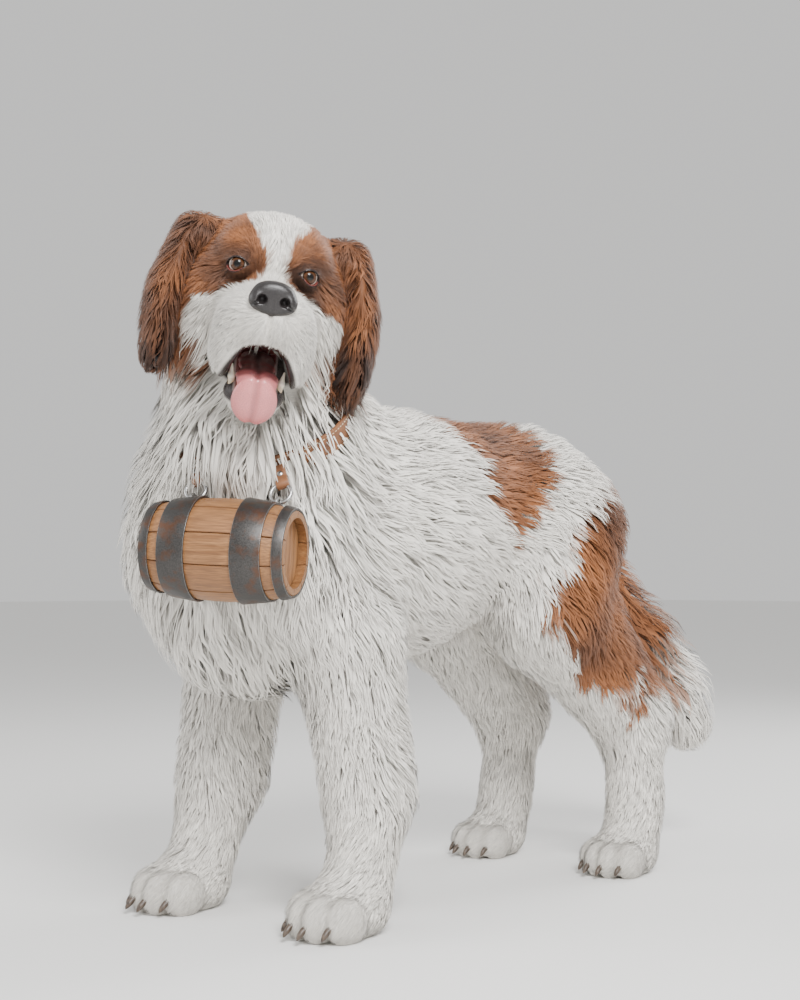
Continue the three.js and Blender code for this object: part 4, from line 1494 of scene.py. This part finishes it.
def make_hangers():
    for side, name in SIDE_NAMES:
        steel = (steel_material, "ring_steel")
        made("staple_" + name, staple(side), HANGER, *steel, ["keg_staple_" + name])
        made("ring_" + name, hanger_ring(side), HANGER, *steel, ["hanger_ring_" + name])
        matrix, long = tab_frame(side)
        leather = (leather_material, "collar_leather")
        made("tab_" + name, tab_strap(long), matrix, *leather, ["hanger_tab_" + name])
        made("tab_rivet_" + name, tab_rivet(), matrix, *steel, [])


# Materials
def add(tree, kind, **settings):
    """A shader node, with its settings and the values of its inputs by name."""
    node = tree.nodes.new("ShaderNode" + kind)
    for key, value in settings.items():
        if key in node.inputs:
            node.inputs[key].default_value = value
        elif key.replace("_", " ") in node.inputs:
            node.inputs[key.replace("_", " ")].default_value = value
        else:
            setattr(node, key, value)
    return node


def new_material(name, roughness, **settings):
    material = bpy.data.materials.new(name)
    material.use_nodes = True
    shader = material.node_tree.nodes["Principled BSDF"]
    shader.inputs["Roughness"].default_value = roughness
    for key, value in settings.items():
        shader.inputs[key.replace("_", " ")].default_value = value
    return material, material.node_tree, shader


def noise_over(tree, place, scale, detail, stretch, turn=0, roughness=0.5):
    """Noise over places, turned about the vertical and drawn out by a stretch."""
    mapping = add(tree, "Mapping")
    mapping.inputs["Scale"].default_value = stretch
    mapping.inputs["Rotation"].default_value = (0, 0, turn)
    tree.links.new(place, mapping.inputs["Vector"])
    node = add(tree, "TexNoise", Scale=scale, Detail=detail, Roughness=roughness)
    tree.links.new(mapping.outputs["Vector"], node.inputs["Vector"])
    return node.outputs["Fac"]


def noise(tree, scale, detail=3, stretch=(1, 1, 1), turn=0):
    """Noise over the places on the dog."""
    place = add(tree, "TexCoord").outputs["Object"]
    return noise_over(tree, place, scale, detail, stretch, turn)


def own_noise(tree, scale, detail=4, stretch=(1, 1, 1), roughness=0.55):
    """Noise over a piece's own places."""
    return noise_over(tree, attribute(tree, "own", "Vector"), scale, detail, stretch, 0, roughness)


def mapped(tree, value, start, end, low, high):
    """A value that goes from low to high as another goes from start to end."""
    node = add(tree, "MapRange")
    for name, number in (("From Min", start), ("From Max", end), ("To Min", low), ("To Max", high)):
        node.inputs[name].default_value = number
    tree.links.new(value, node.inputs["Value"])
    return node.outputs["Result"]


def ranged(tree, value, low, high):
    """Noise, most of which is between 0.3 and 0.7, brought to a range."""
    return mapped(tree, value, 0.3, 0.7, low, high)


def scaled_colour(tree, colour, factor):
    node = add(tree, "VectorMath", operation="SCALE")
    tree.links.new(colour, node.inputs["Vector"])
    tree.links.new(factor, node.inputs["Scale"])
    return node.outputs["Vector"]


def blended(tree, factor, low, high):
    """Two colours, or a value's output and a colour, mixed by a factor."""
    mix = add(tree, "Mix", data_type="RGBA")
    for name, value in (("A", low), ("B", high)):
        if isinstance(value, tuple):
            mix.inputs[name].default_value = (*value, 1)
        else:
            tree.links.new(value, mix.inputs[name])
    tree.links.new(factor, mix.inputs["Factor"])
    return mix.outputs["Result"]


def bumped(tree, shader, height, strength, depth):
    node = add(tree, "Bump", Strength=strength, Distance=depth)
    tree.links.new(height, node.inputs["Height"])
    tree.links.new(node.outputs["Normal"], shader.inputs["Normal"])


def attribute(tree, name, output="Color"):
    return add(tree, "Attribute", attribute_name=name).outputs[output]


def make_coat_material():
    """Fur: the markings, streaked along each tuft."""
    material, tree, shader = new_material("coat", 0.58, Specular_IOR_Level=0.28, Sheen_Weight=0.12)
    strand = add(tree, "UVMap", uv_map="strand").outputs["UV"]
    streaks = noise_over(tree, strand, 1.0, 2, (6.5, 1.3, 1))
    colour = scaled_colour(tree, attribute(tree, "coat"), ranged(tree, streaks, 0.80, 1.18))
    tree.links.new(colour, shader.inputs["Base Color"])
    bumped(tree, shader, streaks, 0.5, 0.0006)
    return material


def make_skin_material():
    """Skin under the coat, with the short hair of the face as fine streaks."""
    material, tree, shader = new_material("skin", 0.6, Specular_IOR_Level=0.3)
    hair = noise(tree, 900, 2, (1, 0.12, 1), -Matrix(HEAD.tolist()).to_euler().z)
    colour = scaled_colour(tree, attribute(tree, "coat"), ranged(tree, hair, 0.82, 1.14))
    tree.links.new(colour, shader.inputs["Base Color"])
    gloss = mapped(tree, attribute(tree, "wet", "Fac"), 0, 1, 0.62, 0.22)
    tree.links.new(gloss, shader.inputs["Roughness"])
    bumped(tree, shader, hair, 0.6, 0.001)
    return material


def make_flesh_material(name, roughness, grain, depth):
    """Moist flesh or enamel in the colours of its mesh."""
    material, tree, shader = new_material(name, roughness, Coat_Weight=0.5, Coat_Roughness=0.12)
    shader.inputs["Subsurface Weight"].default_value = 0.12
    shader.inputs["Subsurface Scale"].default_value = 0.004
    buds = noise(tree, grain)
    colour = scaled_colour(tree, attribute(tree, "tint"), ranged(tree, buds, 0.86, 1.12))
    tree.links.new(colour, shader.inputs["Base Color"])
    bumped(tree, shader, buds, 0.5, depth)
    return material


def make_nose_material():
    """Moist black leather with fine pebbles, with painted shade in the valleys between them."""
    material, tree, shader = new_material("nose", 0.40, Coat_Weight=0.2, Coat_Roughness=0.3)
    place = add(tree, "TexCoord").outputs["Object"]
    cells = add(tree, "TexVoronoi", Scale=620.0)
    tree.links.new(place, cells.inputs["Vector"])
    painted_valley_shade = mapped(tree, cells.outputs["Distance"], 0, 0.6, 0, 1)
    # Painted shade: darker in the valleys between the pebbles.
    tint = blended(tree, painted_valley_shade, (0.030, 0.024, 0.024), (0.010, 0.008, 0.008))
    tree.links.new(tint, shader.inputs["Base Color"])
    pebble = mapped(tree, cells.outputs["Distance"], 0, 0.6, 1, 0)
    bumped(tree, shader, pebble, 0.4, 0.0005)
    return material


def make_eye_material():
    """A wet eye in the colours of its mesh."""
    material, tree, shader = new_material("eye", 0.3, Coat_Weight=0.8, Coat_Roughness=0.01)
    shader.inputs["Specular IOR Level"].default_value = 0.1
    shader.inputs["Coat IOR"].default_value = 1.38
    veins = noise(tree, 500)
    colour = scaled_colour(tree, attribute(tree, "tint"), ranged(tree, veins, 0.9, 1.1))
    tree.links.new(colour, shader.inputs["Base Color"])
    return material


def make_claw_material():
    """Dark horn in streaks."""
    material, tree, shader = new_material("claw", 0.38)
    growth = noise(tree, 160, 3, (1, 3, 1))
    tint = blended(tree, ranged(tree, growth, 0, 1), (0.035, 0.024, 0.018), (0.13, 0.095, 0.07))
    tree.links.new(tint, shader.inputs["Base Color"])
    bumped(tree, shader, growth, 0.3, 0.0005)
    return material


def edge_wear(tree, radius, low, high):
    """High on outward edges, from how the bevelled normal leaves the true one."""
    bevel = add(tree, "Bevel", samples=4, Radius=radius)
    geometry = add(tree, "NewGeometry")
    dot = add(tree, "VectorMath", operation="DOT_PRODUCT")
    tree.links.new(bevel.outputs["Normal"], dot.inputs[0])
    tree.links.new(geometry.outputs["Normal"], dot.inputs[1])
    return mapped(tree, dot.outputs["Value"], high, low, 0, 1)


def make_oak_material():
    """Oiled oak: long grain with darker pores, worn paler along its edges."""
    material, tree, shader = new_material("oak", 0.5, Coat_Weight=0.12, Coat_Roughness=0.35)
    grain = own_noise(tree, 260, 5, (0.05, 1, 1), 0.62)
    pores = own_noise(tree, 900, 2, (0.035, 1, 1), 0.5)
    figure = own_noise(tree, 28, 3, (0.16, 1, 1))
    tone = blended(tree, ranged(tree, grain, 0, 1), (0.20, 0.082, 0.026), (0.44, 0.215, 0.080))
    tone = blended(tree, ranged(tree, figure, 0, 0.55), tone, (0.30, 0.125, 0.040))
    tone = blended(tree, ranged(tree, pores, 0.65, 0), tone, (0.085, 0.034, 0.012))
    tone = blended(tree, edge_wear(tree, 0.0012, 0.92, 0.995), tone, (0.12, 0.052, 0.02))
    tree.links.new(tone, shader.inputs["Base Color"])
    tree.links.new(ranged(tree, grain, 0.42, 0.66), shader.inputs["Roughness"])
    bumped(tree, shader, pores, 0.45, 0.0008)
    return material


RUST = 0.55


def make_iron_material():
    """Dark forged iron with rubbed edges and a little rust."""
    material, tree, shader = new_material("iron", 0.45)
    beaten = own_noise(tree, 90, 4)
    fine = own_noise(tree, 700, 3)
    rust = ranged(tree, own_noise(tree, 55, 5), -1.1 * RUST, 1.2 * RUST)
    tone = blended(tree, ranged(tree, fine, 0, 1), (0.045, 0.043, 0.042), (0.095, 0.09, 0.086))
    tone = blended(tree, rust, tone, (0.13, 0.05, 0.02))
    worn = edge_wear(tree, 0.0012, 0.9, 0.99)
    tone = blended(tree, worn, tone, (0.34, 0.33, 0.32))
    tree.links.new(tone, shader.inputs["Base Color"])
    shader.inputs["Metallic"].default_value = 0.85
    tree.links.new(ranged(tree, fine, 0.36, 0.6), shader.inputs["Roughness"])
    bumped(tree, shader, beaten, 0.5, 0.0012)
    return material


def make_steel_material():
    """Forged steel, polished by use."""
    material, tree, shader = new_material("steel", 0.3, Metallic=1.0)
    marks = own_noise(tree, 420, 4)
    tone = blended(tree, ranged(tree, marks, 0, 1), (0.34, 0.335, 0.33), (0.58, 0.575, 0.565))
    tree.links.new(tone, shader.inputs["Base Color"])
    tree.links.new(ranged(tree, marks, 0.38, 0.24), shader.inputs["Roughness"])
    bumped(tree, shader, marks, 0.25, 0.0004)
    return material


def make_leather_material():
    """Tanned leather: grained, darker where it was handled and scuffed at the edges."""
    material, tree, shader = new_material("leather", 0.5, Coat_Weight=0.08, Coat_Roughness=0.4)
    cells = add(tree, "TexVoronoi", feature="DISTANCE_TO_EDGE", Scale=650.0)
    tree.links.new(attribute(tree, "own", "Vector"), cells.inputs["Vector"])
    stains = own_noise(tree, 40, 4)
    tone = blended(tree, ranged(tree, stains, 0, 1), (0.125, 0.046, 0.018), (0.26, 0.105, 0.040))
    tone = blended(tree, edge_wear(tree, 0.0015, 0.88, 0.99), tone, (0.33, 0.17, 0.085))
    tree.links.new(tone, shader.inputs["Base Color"])
    tree.links.new(ranged(tree, stains, 0.44, 0.62), shader.inputs["Roughness"])
    grain = mapped(tree, cells.outputs["Distance"], 0, 0.25, 0, 1)
    bumped(tree, shader, grain, 0.35, 0.0004)
    return material


def make_thread_material():
    """Waxed thread."""
    material, tree, shader = new_material("thread", 0.75)
    twist = own_noise(tree, 900, 2)
    tone = blended(tree, ranged(tree, twist, 0, 1), (0.52, 0.40, 0.24), (0.74, 0.62, 0.44))
    tree.links.new(tone, shader.inputs["Base Color"])
    bumped(tree, shader, twist, 0.4, 0.0003)
    return material


coat_material = make_coat_material()
skin_material = make_skin_material()
nose_material = make_nose_material()
eye_material = make_eye_material()
claw_material = make_claw_material()
oak_material = make_oak_material()
iron_material = make_iron_material()
steel_material = make_steel_material()
leather_material = make_leather_material()
thread_material = make_thread_material()
tongue_material = make_flesh_material("tongue", 0.35, 700, 0.0008)
tooth_material = make_flesh_material("tooth", 0.25, 300, 0.0002)


LIP = np.array((0.022, 0.015, 0.014))
LINING = np.array((0.17, 0.045, 0.042))
HAW = np.array((0.20, 0.045, 0.035))


def skin_colours():
    """The markings on the skin, darkened as painted shade under the coat, dark lips and lid edges, and the
    lining of the mouth.
    """
    weights = part_weights(POINTS)
    # Painted shade: the skin is darker than the coat's colour, as if shaded by the tufts over it.
    colour = coat_at(POINTS, weights) * 0.86
    q = to_local(HEAD, POINTS)
    near_head = in_head_room(POINTS, 4)
    lips, lining = mouth_parts(POINTS)
    wet = np.maximum(lips, lining) * near_head
    colour = colour + (LIP - colour) * (lips * near_head)[:, None]
    colour = colour + (LINING - colour) * (lining * near_head)[:, None]
    for s in SIDES:
        opening, away = lid_opening(q, s)
        rim = (1 - rise(opening, 1.6, 3.6)) * (away < 26)
        colour = colour + (LIP - colour) * rim[:, None]
        lower = rim * (opening < 0.8) * (q[:, 2] < EYE[2] - 3) * (away < 14)
        colour = colour + (HAW - colour) * lower[:, None]
        wet = np.maximum(wet, rim)
    tinted(skin, np.clip(colour, 0, 1), "coat")
    layer = skin.data.attributes.new("wet", "FLOAT", "POINT")
    layer.data.foreach_set("value", wet.astype(np.float32))


skin_colours()
skin.data.materials.append(skin_material)
for item in coat_pieces:
    item.data.materials.append(coat_material)
make_eyes()
make_nose()
make_tongue()
make_teeth()
make_claws()
make_keg()
make_collar()
make_hangers()


# Camera, floor and light
CAMERA_TURN = math.radians(46)
CAMERA_TILT = math.radians(93)
CAMERA_AWAY = 2.43
CAMERA_ASIDE = 0.011
CAMERA_HEIGHT = 0.49
CAMERA_LENS = 55.26


def camera():
    """Before the dog's left shoulder, a little below its back, looking slightly up."""
    data = bpy.data.cameras.new("camera")
    item = bpy.data.objects.new("camera", data)
    bpy.context.scene.collection.objects.link(item)
    back = Vector((math.sin(CAMERA_TURN), -math.cos(CAMERA_TURN), 0))
    right = Vector((math.cos(CAMERA_TURN), math.sin(CAMERA_TURN), 0))
    place = Vector(HOME) * MM + back * CAMERA_AWAY + right * CAMERA_ASIDE
    place.z = CAMERA_HEIGHT
    item.location = place
    item.rotation_euler = (CAMERA_TILT, 0, CAMERA_TURN)
    data.lens = CAMERA_LENS
    bpy.context.scene.camera = item


FLOOR_HALF = 30


def make_floor():
    """A plain pale floor."""
    mesh = bpy.data.meshes.new("floor")
    corners = [(x * FLOOR_HALF, y * FLOOR_HALF, 0) for x, y in ((-1, -1), (1, -1), (1, 1), (-1, 1))]
    mesh.from_pydata(corners, [], [(0, 1, 2, 3)])
    floor = bpy.data.objects.new("floor", mesh)
    bpy.context.scene.collection.objects.link(floor)
    material, tree, shader = new_material("floor", 0.9)
    shader.inputs["Base Color"].default_value = (0.86, 0.855, 0.84, 1)
    mesh.materials.append(material)


def lamp(name, place, size, power, target=(0, 0, 0.5)):
    data = bpy.data.lights.new(name, "AREA")
    data.shape = "DISK"
    data.size = size
    data.energy = power
    item = bpy.data.objects.new(name, data)
    bpy.context.scene.collection.objects.link(item)
    item.location = place
    item.rotation_euler = (Vector(target) - Vector(place)).to_track_quat("-Z", "Y").to_euler()


def sky(colour, strength):
    """An even light from all round."""
    world = bpy.data.worlds.new("world")
    bpy.context.scene.world = world
    world.use_nodes = True
    background = world.node_tree.nodes["Background"]
    background.inputs["Color"].default_value = colour
    background.inputs["Strength"].default_value = strength


camera()
make_floor()
lamp("key", (2.6, -1.6, 2.7), 1.5, 215)
lamp("fill", (-2.0, -2.6, 1.8), 2.4, 42)
lamp("rim", (0.2, 2.8, 2.6), 2.0, 70)
sky((1.0, 0.995, 0.985, 1), 0.78)
